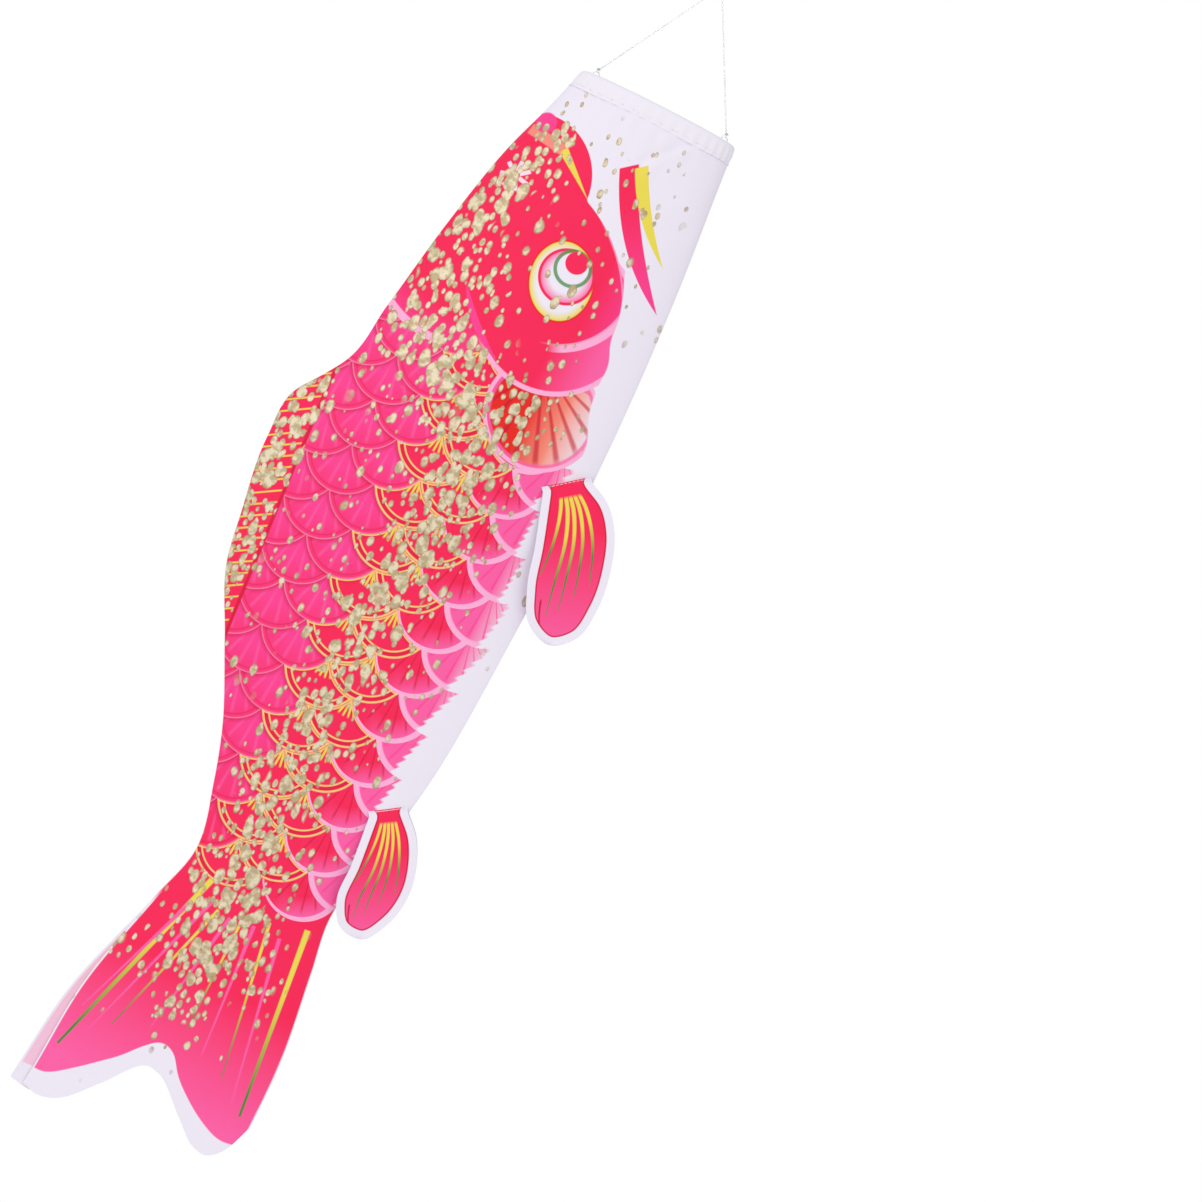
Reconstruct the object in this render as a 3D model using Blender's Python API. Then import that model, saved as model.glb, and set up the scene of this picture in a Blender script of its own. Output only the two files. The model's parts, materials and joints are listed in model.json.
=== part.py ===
"""Carp streamer: a printed cloth fish, open at mouth and tail, hung head up from a thread bridle.

Metres, +Z up. The origin is at the top of the hanging loop. +X points to the belly and the
fish is symmetric about the plane y = 0; its right side faces -Y. A station is a distance
from the mouth rim towards the tail, which is straight down.
"""

import math

import bmesh
import bpy
import numpy as np
from mathutils import Vector

# Overall sizes
LENGTH = 0.700  # mouth rim to the longest tail tip
MOUTH_WIDTH = 0.093  # over the hem, back to belly
MOUTH_DEPTH = 0.040  # over the hem, side to side
BODY_WIDTH = 0.186  # widest, back to belly, dorsal fin included
BODY_DEPTH = 0.036  # fullest, side to side
WAIST_WIDTH = 0.090  # narrowest, ahead of the tail
TAIL_WIDTH = 0.140  # across the tail's end

# Cloth, hem and hoop
CLOTH = 0.0010  # modelled thickness of a panel
FIN_CLOTH = 0.0008
SEAM_THICK = 0.0010  # the sewn-in seam allowance between two panels
SEAM_WIDTH = 0.0045
HEM_WIDTH = 0.012
HEM_CLOTH = 0.0006
HOOP_WIRE = 0.0008  # radius
SLEEVE_RADIUS = 0.0013
SLEEVE_LENGTH = 0.012
GAP = 0.0003  # between pieces that touch

# Bridle
BRIDLE_HEIGHT = 0.095  # hanging point to mouth rim
THREAD = 0.0004  # radius of a bridle line
LOOP_RADIUS = 0.0050  # centre line of the hanging loop
LOOP_THICK = 0.0007
APEX_KNOT = 0.0020
LINE_KNOT = 0.0014
TIE_LOOP = 0.0020  # centre line radius of the loops on the rim
KNOT_SQUASH = 0.8

# Joints, as shares of the length and as ranges either way
BEND_AT = 0.536
TAIL_AT = 0.764
BEND_RANGE = math.radians(20)
TAIL_RANGE = math.radians(30)
JOINT_CLEAR = 0.0005  # half the slot between two sections at the middle plane

# Fins
FIN_YAW = math.radians(7)  # each fin leans in towards the middle plane past the belly
ROOT_TAPE = 0.0030  # width of the tape that sews a fin on
TAPE_REACH = 0.94  # how much of the root that lies on the cloth the tape covers
PIVOT_TO_TAPE = 0.0003
PIVOT_TO_FIN = 0.0010

# Outline, as (station / length, reach from the bridle's middle); reach of the back, then the belly
BACK_EDGE = (
    (0.000, 0.505 * MOUTH_WIDTH),
    (0.043, 0.323 * BODY_WIDTH),
    (0.086, 0.376 * BODY_WIDTH),
    (0.171, 0.445 * BODY_WIDTH),
    (0.257, 0.497 * BODY_WIDTH),
    (0.316, 0.537 * BODY_WIDTH),
    (0.336, 0.583 * BODY_WIDTH),
    (0.358, 0.639 * BODY_WIDTH),
    (0.404, 0.652 * BODY_WIDTH),
    (0.474, 0.616 * BODY_WIDTH),
    (0.519, 0.583 * BODY_WIDTH),
    (0.577, 0.478 * BODY_WIDTH),
    (0.646, 0.355 * BODY_WIDTH),
    (0.690, 0.301 * BODY_WIDTH),
    (0.750, 0.522 * WAIST_WIDTH),
    (0.801, 0.400 * TAIL_WIDTH),
    (0.904, 0.550 * TAIL_WIDTH),
    (1.000, 0.607 * TAIL_WIDTH),
)
BELLY_EDGE = (
    (0.000, 0.495 * MOUTH_WIDTH),
    (0.043, 0.285 * BODY_WIDTH),
    (0.129, 0.317 * BODY_WIDTH),
    (0.257, 0.347 * BODY_WIDTH),
    (0.474, 0.347 * BODY_WIDTH),
    (0.603, 0.323 * BODY_WIDTH),
    (0.690, 0.272 * BODY_WIDTH),
    (0.750, 0.478 * WAIST_WIDTH),
    (0.801, 0.343 * TAIL_WIDTH),
    (0.871, 0.393 * TAIL_WIDTH),
    (1.000, 0.406 * TAIL_WIDTH),
)
HALF_DEPTH = (
    (0.00, 0.50 * MOUTH_DEPTH),
    (0.20, 0.50 * BODY_DEPTH),
    (0.36, 0.49 * BODY_DEPTH),
    (0.54, 0.36 * BODY_DEPTH),
    (0.66, 0.24 * BODY_DEPTH),
    (0.76, 0.16 * BODY_DEPTH),
    (1.00, 0.12 * BODY_DEPTH),
)
# How pointed a cross-section is: 1 is an ellipse, as the hoop holds it
POINTED = ((0.00, 1.0), (0.15, 1.5), (0.30, 1.6), (1.00, 1.6))
# Tail end as (place across, -1 at the back edge to 1 at the belly edge; station / length)
TAIL_END = (
    (-1.00, 0.997),
    (-0.80, 1.000),
    (-0.58, 0.992),
    (-0.33, 0.966),
    (-0.05, 0.935),
    (0.08, 0.936),
    (0.42, 0.962),
    (0.66, 0.980),
    (0.80, 0.980),
    (0.93, 0.964),
    (1.00, 0.944),
)

# Fins: where each root's outer end meets the belly edge, as a share of the length, and the outline
# from there as (reach, station); the first two points are the root's inner and outer ends
PECTORAL_AT = 0.3136
PECTORAL = (
    (-0.0235, 0.0190),
    (0.0000, 0.0000),
    (0.0145, 0.0075),
    (0.0255, 0.0205),
    (0.0335, 0.0405),
    (0.0375, 0.0665),
    (0.0340, 0.0885),
    (0.0210, 0.0990),
    (0.0050, 0.0935),
    (-0.0060, 0.0745),
    (-0.0130, 0.0505),
)
ANAL_AT = 0.6386
ANAL = (
    (-0.0195, 0.0130),
    (0.0000, 0.0000),
    (0.0110, 0.0110),
    (0.0185, 0.0250),
    (0.0230, 0.0430),
    (0.0200, 0.0650),
    (0.0090, 0.0810),
    (-0.0050, 0.0800),
    (-0.0140, 0.0670),
    (-0.0160, 0.0430),
)

# Mesh fineness
ACROSS = 16  # faces over half a cross-section
RING = 40  # faces round the hem and hoop
STATION_STEP = 0.018
TAPE_STEPS = 6
FIN_RIM = 30  # points round a fin
HOOP_STEPS = 60
LINE_STEPS = 12  # points along a bridle line
LOOP_STEPS = 24  # points round the hanging loop

COLOURS = {
    "cloth": ((0.86, 0.80, 0.88), 0.6, 0.0),
    "hem_cloth": ((0.88, 0.84, 0.92), 0.6, 0.0),
    "tail_cloth": ((0.85, 0.05, 0.20), 0.6, 0.0),
    "fin_cloth": ((0.90, 0.06, 0.20), 0.6, 0.0),
    "seam_cloth": ((0.85, 0.78, 0.86), 0.7, 0.0),
    "hoop_wire": ((0.80, 0.81, 0.83), 0.3, 1.0),
    "sleeve_metal": ((0.60, 0.61, 0.63), 0.35, 1.0),
    "clear_thread": ((0.90, 0.90, 0.92), 0.3, 0.0),
}


def smooth_line(points, at):
    """The value at each place of a smooth curve through (place, value) points, by cubic pieces
    whose slopes are the central differences."""
    place, value = np.array(points, float).T
    slope = np.gradient(value, place)
    at = np.clip(np.asarray(at, float), place[0], place[-1])
    k = np.clip(np.searchsorted(place, at, side="right") - 1, 0, len(place) - 2)
    width = place[k + 1] - place[k]
    t = (at - place[k]) / width
    return (
        (2 * t**3 - 3 * t**2 + 1) * value[k]
        + (t**3 - 2 * t**2 + t) * width * slope[k]
        + (3 * t**2 - 2 * t**3) * value[k + 1]
        + (t**3 - t**2) * width * slope[k + 1]
    )


def edges(station):
    """Half width and middle of the cloth at a station, both along X."""
    share = np.asarray(station) / LENGTH
    back, belly = smooth_line(BACK_EDGE, share), smooth_line(BELLY_EDGE, share)
    return (back + belly) / 2, (belly - back) / 2


def depth(station):
    """From the middle plane to the inside of a panel, where it stands furthest out."""
    return smooth_line(HALF_DEPTH, np.asarray(station) / LENGTH) - CLOTH


def panel_reach(station, across):
    """How far the inside of a panel stands from the middle plane; across runs from -1 to 1."""
    power = smooth_line(POINTED, np.asarray(station) / LENGTH)
    round_off = np.sqrt(np.clip(1 - np.asarray(across) ** 2, 0, 1)) ** power
    edge = SEAM_THICK / 2 + GAP
    return edge + (depth(station) - edge) * round_off


def outside_at(x, station):
    """How far the outside of the cloth stands from the middle plane at a place on the fish."""
    half, middle = edges(station)
    return panel_reach(station, np.clip((x - middle) / half, -1, 1)) + CLOTH


def flare(station):
    """How far the cloth leans out towards the tail at its steeper edge, as a sine."""
    (half, middle), (next_half, next_middle) = edges(station), edges(station + GAP)
    spread = max(abs(next_half - half + way * (next_middle - middle)) for way in (-1, 1))
    return math.sin(math.atan(spread / GAP))


def height(station):
    return -BRIDLE_HEIGHT - station


def material(name):
    made = bpy.data.materials.get(name)
    if made is None:
        made = bpy.data.materials.new(name)
        made.use_nodes = True
        colour, roughness, metallic = COLOURS[name]
        shader = made.node_tree.nodes["Principled BSDF"]
        shader.inputs["Base Color"].default_value = (*colour, 1)
        shader.inputs["Roughness"].default_value = roughness
        shader.inputs["Metallic"].default_value = metallic
    return made


def pivot(name, place):
    empty = bpy.data.objects.new(name, None)
    empty.location = place
    bpy.context.scene.collection.objects.link(empty)
    return empty


def add_object(name, data, finish, parent):
    """Links an object whose data is in world coordinates and hangs it on its joint's empty."""
    data.materials.append(material(finish))
    made = bpy.data.objects.new(name, data)
    bpy.context.scene.collection.objects.link(made)
    if parent is not None:
        made.parent = parent
        made.location = -parent.location
    return made


def add_mesh(name, points, faces, finish, parent, turn=False):
    mesh = bpy.data.meshes.new(name)
    faces = [tuple(reversed(face)) if turn else tuple(face) for face in faces]
    mesh.from_pydata([tuple(p) for p in points], [], faces)
    mesh.validate()
    made = add_object(name, mesh, finish, parent)
    mesh.shade_smooth()
    mesh.set_sharp_from_angle(angle=math.radians(40))
    return made


def grid_faces(rows, columns, round_rows=False, round_columns=False):
    """Quads of a grid of points stored row by row, joined to its start where it is round."""
    faces = []
    for i in range(rows if round_rows else rows - 1):
        for j in range(columns if round_columns else columns - 1):
            a, b = i * columns, ((i + 1) % rows) * columns
            k = (j + 1) % columns
            faces.append((a + j, a + k, b + k, b + j))
    return faces


def panel(name, side, first, last, finish, parent):
    """One side's cloth between two end lines, which are functions of the place across and give
    a station. side is -1 for the right side and 1 for the left."""
    turn = np.linspace(-math.pi / 2, math.pi / 2, ACROSS + 1)
    across = np.sin(turn)
    start, end = first(across), last(across)
    rows = max(4, round(float((end - start).mean()) / STATION_STEP)) + 1
    share = np.linspace(0, 1, rows)[:, None]
    station = start + (end - start) * share
    half, middle = edges(station)
    points = np.stack(
        [middle + half * across, side * panel_reach(station, across), height(station)], axis=-1
    )
    made = add_mesh(
        name, points.reshape(-1, 3), grid_faces(rows, ACROSS + 1), finish, parent, side < 0
    )
    wall = made.modifiers.new("cloth", "SOLIDIFY")
    wall.thickness = CLOTH
    wall.offset = 1
    return made


def slot_line(hinge, bend, way):
    """An end line beside a hinge: it backs off from the hinge with the cloth's distance from
    the middle plane, so that the two sections meet only when bent by half their range each."""

    def line(across):
        station = hinge * LENGTH
        reach = panel_reach(station, across) + CLOTH
        return station + way * (JOINT_CLEAR + reach * math.tan(bend / 2))

    return line


def level_line(station):
    return lambda across: np.full_like(across, station)


def tail_line(across):
    return LENGTH * smooth_line(TAIL_END, across)


def seam(name, way, start, end, parent):
    """The seam allowance, a flat strip in the middle plane along the back (-1) or belly (1)."""
    count = max(3, round((end - start) / STATION_STEP)) + 1
    station = np.linspace(start, end, count)
    half, middle = edges(station)
    edge = middle + way * half
    inner = edge - way * SEAM_WIDTH
    ring = [(edge, -1), (edge, 1), (inner, 1), (inner, -1)]
    points = np.stack(
        [np.stack([x, np.full(count, y * SEAM_THICK / 2), height(station)], -1) for x, y in ring],
        axis=1,
    )
    faces = grid_faces(count, 4, round_columns=True)
    faces += [(3, 2, 1, 0), tuple(4 * (count - 1) + k for k in range(4))]
    return add_mesh(name, points.reshape(-1, 3), faces, "seam_cloth", parent, way > 0)


def mouth_ring(station, offset):
    """Points round the mouth at a station, offset outwards along the ring's normal. The ring is
    the ellipse through the middle of the hem's fold."""
    half, middle = edges(station)
    fold = HEM_CLOTH + GAP + SLEEVE_RADIUS
    a = half + CLOTH - fold
    b = depth(station) + CLOTH - fold
    turn = np.linspace(0, 2 * math.pi, RING, endpoint=False)
    normal = np.stack([b * np.cos(turn), a * np.sin(turn)], -1)
    normal /= np.linalg.norm(normal, axis=-1, keepdims=True)
    x = middle + a * np.cos(turn) + offset * normal[:, 0]
    y = b * np.sin(turn) + offset * normal[:, 1]
    return np.stack([x, y, np.full(RING, height(station))], -1)


def mouth_hem(parent):
    """The hem: cloth folded over the hoop, a U section open towards the tail."""
    outer = HEM_CLOTH + GAP + SLEEVE_RADIUS
    inner = outer - HEM_CLOTH
    section = (
        (HEM_WIDTH, outer),
        (HEM_WIDTH / 2, outer),
        (0.0, outer),
        (0.0, -outer),
        (HEM_WIDTH / 2, -outer),
        (HEM_WIDTH, -outer),
        (HEM_WIDTH, -inner),
        (HEM_WIDTH / 2, -inner),
        (HEM_CLOTH, -inner),
        (HEM_CLOTH, inner),
        (HEM_WIDTH / 2, inner),
        (HEM_WIDTH, inner),
    )
    points = np.stack([mouth_ring(station, offset) for station, offset in section], axis=1)
    faces = grid_faces(RING, len(section), round_rows=True, round_columns=True)
    return add_mesh("mouth_hem", points.reshape(-1, 3), faces, "hem_cloth", parent, True)


def tube_along(name, path, radius, finish, parent, closed=False):
    """A round tube on a path, as a curve with filled caps."""
    curve = bpy.data.curves.new(name, "CURVE")
    curve.dimensions = "3D"
    curve.bevel_depth = radius
    curve.bevel_resolution = 2
    curve.use_fill_caps = not closed
    spline = curve.splines.new("POLY")
    spline.points.add(len(path) - 1)
    for point, place in zip(spline.points, path):
        point.co = (*place, 1)
    spline.use_cyclic_u = closed
    return add_object(name, curve, finish, parent)


def hoop_and_sleeve(parent):
    """The hoop lies in the fold; its wire's ends meet in a crimped sleeve on the left side."""
    ring = mouth_ring(HEM_CLOTH + GAP + SLEEVE_RADIUS, 0.0)
    fine = np.roll(ring, -RING // 4, axis=0)
    path = np.vstack([fine, fine[:1]])
    lengths = np.concatenate([[0], np.cumsum(np.linalg.norm(np.diff(path, axis=0), axis=1))])

    def along(first, last, count):
        at = np.linspace(first, last, count)
        return np.stack([np.interp(at % lengths[-1], lengths, path[:, k]) for k in range(3)], -1)

    free = SLEEVE_LENGTH / 2
    wire = along(free + GAP, lengths[-1] - free - GAP, HOOP_STEPS)
    tube_along("mouth_hoop", wire, HOOP_WIRE, "hoop_wire", parent)
    tube_along("hoop_sleeve", along(-free, free, 5), SLEEVE_RADIUS, "sleeve_metal", parent)


def ball(name, place, radius, parent):
    """A pulled-tight knot: a ball pressed a little flat along the thread."""
    mesh = bpy.data.meshes.new(name)
    shape = bmesh.new()
    bmesh.ops.create_uvsphere(shape, u_segments=12, v_segments=8, radius=radius)
    bmesh.ops.scale(shape, vec=(1, 1, KNOT_SQUASH), verts=shape.verts)
    bmesh.ops.translate(shape, vec=place, verts=shape.verts)
    shape.to_mesh(mesh)
    shape.free()
    mesh.shade_smooth()
    return add_object(name, mesh, "clear_thread", parent)


def hanging_loop():
    turn = np.linspace(0, 2 * math.pi, LOOP_STEPS, endpoint=False)
    centre = -LOOP_RADIUS - LOOP_THICK
    path = np.stack(
        [LOOP_RADIUS * np.cos(turn), 0 * turn, centre + LOOP_RADIUS * np.sin(turn)], -1
    )
    tube_along("hang_loop", path, LOOP_THICK, "clear_thread", None, closed=True)
    knot = 2 * centre - GAP - APEX_KNOT * KNOT_SQUASH
    ball("apex_knot", (0, 0, knot), APEX_KNOT, None)
    return knot


def tie_point(way):
    """Where a bridle line is tied on the rim, above the middle of the hem's fold."""
    half, middle = edges(0.0)
    fold = HEM_CLOTH + GAP + SLEEVE_RADIUS
    return middle + way * (half + CLOTH - fold - TIE_LOOP)


def bridle(apex, head):
    """Two taut lines from the apex knot to the mouth's back and belly corners. Each ends in a
    knot above a small thread loop on the rim."""
    for way, side in ((-1, "back"), (1, "belly")):
        x = tie_point(way)
        turn = np.linspace(0, math.pi, 9)
        foot = height(0.0) + GAP + THREAD
        loop = np.stack(
            [x + TIE_LOOP * np.cos(turn), 0 * turn, foot + TIE_LOOP * np.sin(turn)], -1
        )
        tube_along(f"{side}_tie_loop", loop, THREAD, "clear_thread", head)
        knot = foot + TIE_LOOP + THREAD + GAP + LINE_KNOT * KNOT_SQUASH
        ball(f"{side}_line_knot", (x, 0, knot), LINE_KNOT, None)
        top, foot_of_line = Vector((0, 0, apex)), Vector((x, 0, knot))
        run = (foot_of_line - top).normalized()
        start = top + run * (APEX_KNOT + GAP) + Vector((way * THREAD, 0, 0))
        end = foot_of_line - run * (LINE_KNOT + GAP)
        path = [start.lerp(end, k / (LINE_STEPS - 1)) for k in range(LINE_STEPS)]
        tube_along(f"bridle_line_{side}", path, THREAD, "clear_thread", None)


def swing_height():
    """The head swings about a line just above its two tie loops."""
    return height(0.0) + 1.5 * GAP + 2 * THREAD + TIE_LOOP


def placed(outline, share):
    """A fin's outline moved to its place on the belly edge, in (x, station)."""
    station = share * LENGTH
    half, middle = edges(station)
    return [(float(middle + half) + x, station + s) for x, s in outline]


def fin_plane(outline):
    """A fin hangs in an upright plane that clears the cloth at the inner end of its root."""
    x, station = outline[0]
    clear = outside_at(x, station) + 2 * GAP + FIN_CLOTH / 2
    return lambda at: clear - (at - x) * math.tan(FIN_YAW)


def root_line(outline):
    """The root's two ends and the direction across it, towards the fin, in (x, station)."""
    inner, outer = np.array(outline[0]), np.array(outline[1])
    along = (outer - inner) / np.linalg.norm(outer - inner)
    return inner, outer, np.array([-along[1], along[0]])


def closed_outline(points, steps):
    """A smooth curve from point 1 round to point 0, with the root between them left straight."""
    path = np.array(points[1:] + points[:1])
    place = np.concatenate([[0], np.cumsum(np.linalg.norm(np.diff(path, axis=0), axis=1))])
    at = np.linspace(0, place[-1], steps)
    return np.stack([smooth_line(np.stack([place, path[:, k]], -1), at) for k in (0, 1)], -1)


def fin(name, side, outline, parent):
    """A flat fin, cut square at its root, hanging on its own pivot."""
    plane = fin_plane(outline)
    inner, outer, across = root_line(outline)
    shift = across * PIVOT_TO_FIN
    rim = closed_outline(outline, FIN_RIM)
    rim[0], rim[-1] = outer + shift, inner + shift
    count = len(rim)
    points = [
        (x, side * (plane(x) + level * FIN_CLOTH / 2), height(station))
        for level in (-1, 1)
        for x, station in rim
    ]
    faces = [(k, (k + 1) % count, count + (k + 1) % count, count + k) for k in range(count)]
    faces += [tuple(reversed(range(count))), tuple(range(count, 2 * count))]
    return add_mesh(name, points, faces, "fin_cloth", parent, side < 0)


def fin_root(name, side, outline, parent):
    """The tape that sews a fin on: it fills from the cloth out to the fin, along the root."""
    plane = fin_plane(outline)
    inner, outer, across = root_line(outline)
    half, middle = edges(outer[1])
    reach = np.clip((middle + half - inner[0]) / (outer[0] - inner[0]), 0, 1) * TAPE_REACH
    points = []
    count = TAPE_STEPS + 1
    for share in np.linspace(0, reach, count):
        on_line = inner + (outer - inner) * share
        near = on_line - across * PIVOT_TO_TAPE
        far = near - across * ROOT_TAPE
        corners = []
        for x, station in (near, far):
            top = plane(x) + FIN_CLOTH / 2
            foot = min(outside_at(x, station) + GAP, top - FIN_CLOTH)
            corners += [(x, side * top, height(station)), (x, side * foot, height(station))]
        points += [corners[0], corners[1], corners[3], corners[2]]
    faces = grid_faces(count, 4, round_columns=True)
    faces += [(3, 2, 1, 0), tuple(4 * (count - 1) + k for k in range(4))]
    return add_mesh(name, points, faces, "seam_cloth", parent, side > 0)


def main():
    for obj in list(bpy.data.objects):
        bpy.data.objects.remove(obj)

    bend, tail = BEND_AT * LENGTH, TAIL_AT * LENGTH
    head_pivot = pivot("head_pivot", (0, 0, swing_height()))
    rear_pivot = pivot("rear_pivot", (0, 0, height(bend)))
    tail_pivot = pivot("tail_pivot", (0, 0, height(tail)))

    apex = hanging_loop()
    bridle(apex, head_pivot)
    mouth_hem(head_pivot)
    hoop_and_sleeve(head_pivot)

    front = HEM_WIDTH + GAP + CLOTH * flare(HEM_WIDTH)  # a wall that leans out also rises
    for side, word in ((-1, "right"), (1, "left")):
        before_bend = slot_line(BEND_AT, BEND_RANGE, -1)
        after_bend = slot_line(BEND_AT, BEND_RANGE, 1)
        before_tail = slot_line(TAIL_AT, TAIL_RANGE, -1)
        after_tail = slot_line(TAIL_AT, TAIL_RANGE, 1)
        panel(f"{word}_panel_front", side, level_line(front), before_bend, "cloth", head_pivot)
        panel(f"{word}_panel_rear", side, after_bend, before_tail, "cloth", rear_pivot)
        panel(f"{word}_tail_panel", side, after_tail, tail_line, "tail_cloth", tail_pivot)

    slot = JOINT_CLEAR + SEAM_THICK / 2
    for way, word in ((-1, "back"), (1, "belly")):
        seam(f"{word}_seam_front", way, front, bend - slot, head_pivot)
        seam(f"{word}_seam_rear", way, bend + slot, tail - slot, rear_pivot)
        end = LENGTH * smooth_line(TAIL_END, way)
        seam(f"{word}_seam_tail", way, tail + slot, float(end) - GAP, tail_pivot)

    fins = (
        ("pectoral", placed(PECTORAL, PECTORAL_AT), head_pivot),
        ("anal", placed(ANAL, ANAL_AT), rear_pivot),
    )
    for fin_word, outline, base in fins:
        x, station = (np.array(outline[0]) + np.array(outline[1])) / 2
        for side, word in ((-1, "right"), (1, "left")):
            place = (x, side * fin_plane(outline)(x), height(station))
            hinge = pivot(f"{word}_{fin_word}_pivot", place)
            fin(f"{word}_{fin_word}_fin", side, outline, hinge)
            fin_root(f"{word}_{fin_word}_root", side, outline, base)
    bpy.context.view_layer.update()


main()
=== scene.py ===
"""The looks of a printed cloth carp streamer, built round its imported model.

Metres, +Z up. The hanging point is the origin, +X is the belly and the right side faces -Y.
A station is a distance from the mouth rim towards the tail, straight down. Prints are laid out
in millimetres, as (station, reach), where reach is X: back below zero, belly above it.
"""

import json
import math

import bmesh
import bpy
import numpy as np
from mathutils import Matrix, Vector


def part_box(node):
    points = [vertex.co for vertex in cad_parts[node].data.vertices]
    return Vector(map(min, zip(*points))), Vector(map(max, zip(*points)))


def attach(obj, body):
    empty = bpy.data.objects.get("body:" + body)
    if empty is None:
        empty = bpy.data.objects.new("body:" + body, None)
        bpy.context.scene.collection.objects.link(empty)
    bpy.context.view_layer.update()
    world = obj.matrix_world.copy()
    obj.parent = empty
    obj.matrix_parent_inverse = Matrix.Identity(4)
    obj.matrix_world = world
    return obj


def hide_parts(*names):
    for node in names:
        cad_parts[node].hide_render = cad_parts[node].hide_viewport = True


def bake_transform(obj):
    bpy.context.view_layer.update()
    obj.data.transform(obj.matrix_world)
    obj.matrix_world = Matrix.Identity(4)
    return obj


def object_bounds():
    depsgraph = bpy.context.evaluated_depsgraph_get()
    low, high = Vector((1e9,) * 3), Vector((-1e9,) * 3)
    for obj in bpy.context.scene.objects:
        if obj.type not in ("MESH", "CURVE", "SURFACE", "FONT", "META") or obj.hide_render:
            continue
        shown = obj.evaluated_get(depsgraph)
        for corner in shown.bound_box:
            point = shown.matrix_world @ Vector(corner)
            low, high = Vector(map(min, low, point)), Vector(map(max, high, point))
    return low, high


bl_info = {
    "name": "Carp Streamer",
    "version": (1, 0, 0),
    "blender": (4, 5, 0),
    "location": "3D View > Sidebar > Streamer",
    "description": "Sews and prints a cloth carp streamer round its frame",
    "category": "Add Mesh",
}

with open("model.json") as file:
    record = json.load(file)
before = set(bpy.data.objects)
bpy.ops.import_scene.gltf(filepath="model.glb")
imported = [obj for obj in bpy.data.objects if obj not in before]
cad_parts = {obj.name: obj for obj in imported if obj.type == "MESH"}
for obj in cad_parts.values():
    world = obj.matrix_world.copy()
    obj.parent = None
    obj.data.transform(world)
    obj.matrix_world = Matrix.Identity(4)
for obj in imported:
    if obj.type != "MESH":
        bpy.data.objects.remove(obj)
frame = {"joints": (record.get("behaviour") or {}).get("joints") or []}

CAD_BOX = [list(corner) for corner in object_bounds()]
HEM_LOW, HEM_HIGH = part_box("mouth_hem")
RIM = HEM_HIGH.z
JOINTS = {joint["name"]: joint for joint in frame["joints"]}
SIDES = (("right", -1), ("left", 1))
TURN = 2 * math.pi
MM = 1000

# How the frame was cut, which the cloth repeats. The outlines are (share of the length, share of
# the width or depth of the part named).
WALL = 0.0010
FRAME_GAP = 0.0003
SLEEVE = 0.0013
FOLD = 0.0006 + FRAME_GAP + SLEEVE  # half the thickness of the hem
BACK_EDGE = {
    "mouth": ((0.000, 0.505),),
    "body": (
        (0.043, 0.323), (0.086, 0.376), (0.171, 0.445), (0.257, 0.497), (0.316, 0.537),
        (0.336, 0.583), (0.358, 0.639), (0.404, 0.652), (0.474, 0.616), (0.519, 0.583),
        (0.577, 0.478), (0.646, 0.355), (0.690, 0.301),
    ),
    "waist": ((0.750, 0.522),),
    "tail": ((0.801, 0.400), (0.904, 0.550), (1.000, 0.607)),
}
BELLY_EDGE = {
    "mouth": ((0.000, 0.495),),
    "body": (
        (0.043, 0.285), (0.129, 0.317), (0.257, 0.347), (0.474, 0.347), (0.603, 0.323), (0.690, 0.272),
    ),
    "waist": ((0.750, 0.478),),
    "tail": ((0.801, 0.343), (0.871, 0.393), (1.000, 0.406)),
}
HALF_DEPTH = {
    "mouth": ((0.00, 0.50),),
    "body": ((0.20, 0.50), (0.36, 0.49), (0.54, 0.36), (0.66, 0.24), (0.76, 0.16), (1.00, 0.12)),
}
POINTED = ((0.00, 1.0), (0.15, 1.5), (0.30, 1.6), (1.00, 1.6))
# Across the tail: where the cloth ends, and where its colour does, as shares of the length
TAIL_END = (
    (-1.00, 0.997), (-0.80, 1.000), (-0.58, 0.992), (-0.33, 0.966), (-0.05, 0.935), (0.08, 0.936),
    (0.42, 0.962), (0.66, 0.980), (0.80, 0.980), (0.93, 0.964), (1.00, 0.944),
)
PRINT_END = (
    (-1.00, 0.981), (-0.88, 0.980), (-0.62, 0.964), (-0.46, 0.951), (-0.29, 0.936), (-0.16, 0.921),
    (-0.07, 0.913), (0.05, 0.912), (0.12, 0.916), (0.23, 0.929), (0.41, 0.944), (0.62, 0.957),
    (0.81, 0.964), (1.00, 0.962),
)
# The foil's splatter: station, middle of its band and half width, in mm
FOIL_BAND = (
    (0, -45, 4), (30, -45, 8), (60, -50, 16), (100, -66, 18), (150, -66, 24), (190, -40, 26),
    (230, -12, 26), (300, -12, 22), (500, -16, 22), (560, -10, 26), (600, -12, 20), (650, -12, 14),
    (700, -12, 6),
)
# Where the print stops short of the belly: station and reach, in mm
BELLY_PRINT = (
    (0, 60), (70, 40), (96, 26), (110, 31), (123, 35), (141, 38), (151, 42), (170, 43), (182, 45),
    (204, 53), (225, 50), (246, 45), (281, 49), (332, 54), (369, 49), (405, 44), (440, 42),
    (500, 46), (528, 52), (560, 90), (700, 90),
)
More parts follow.
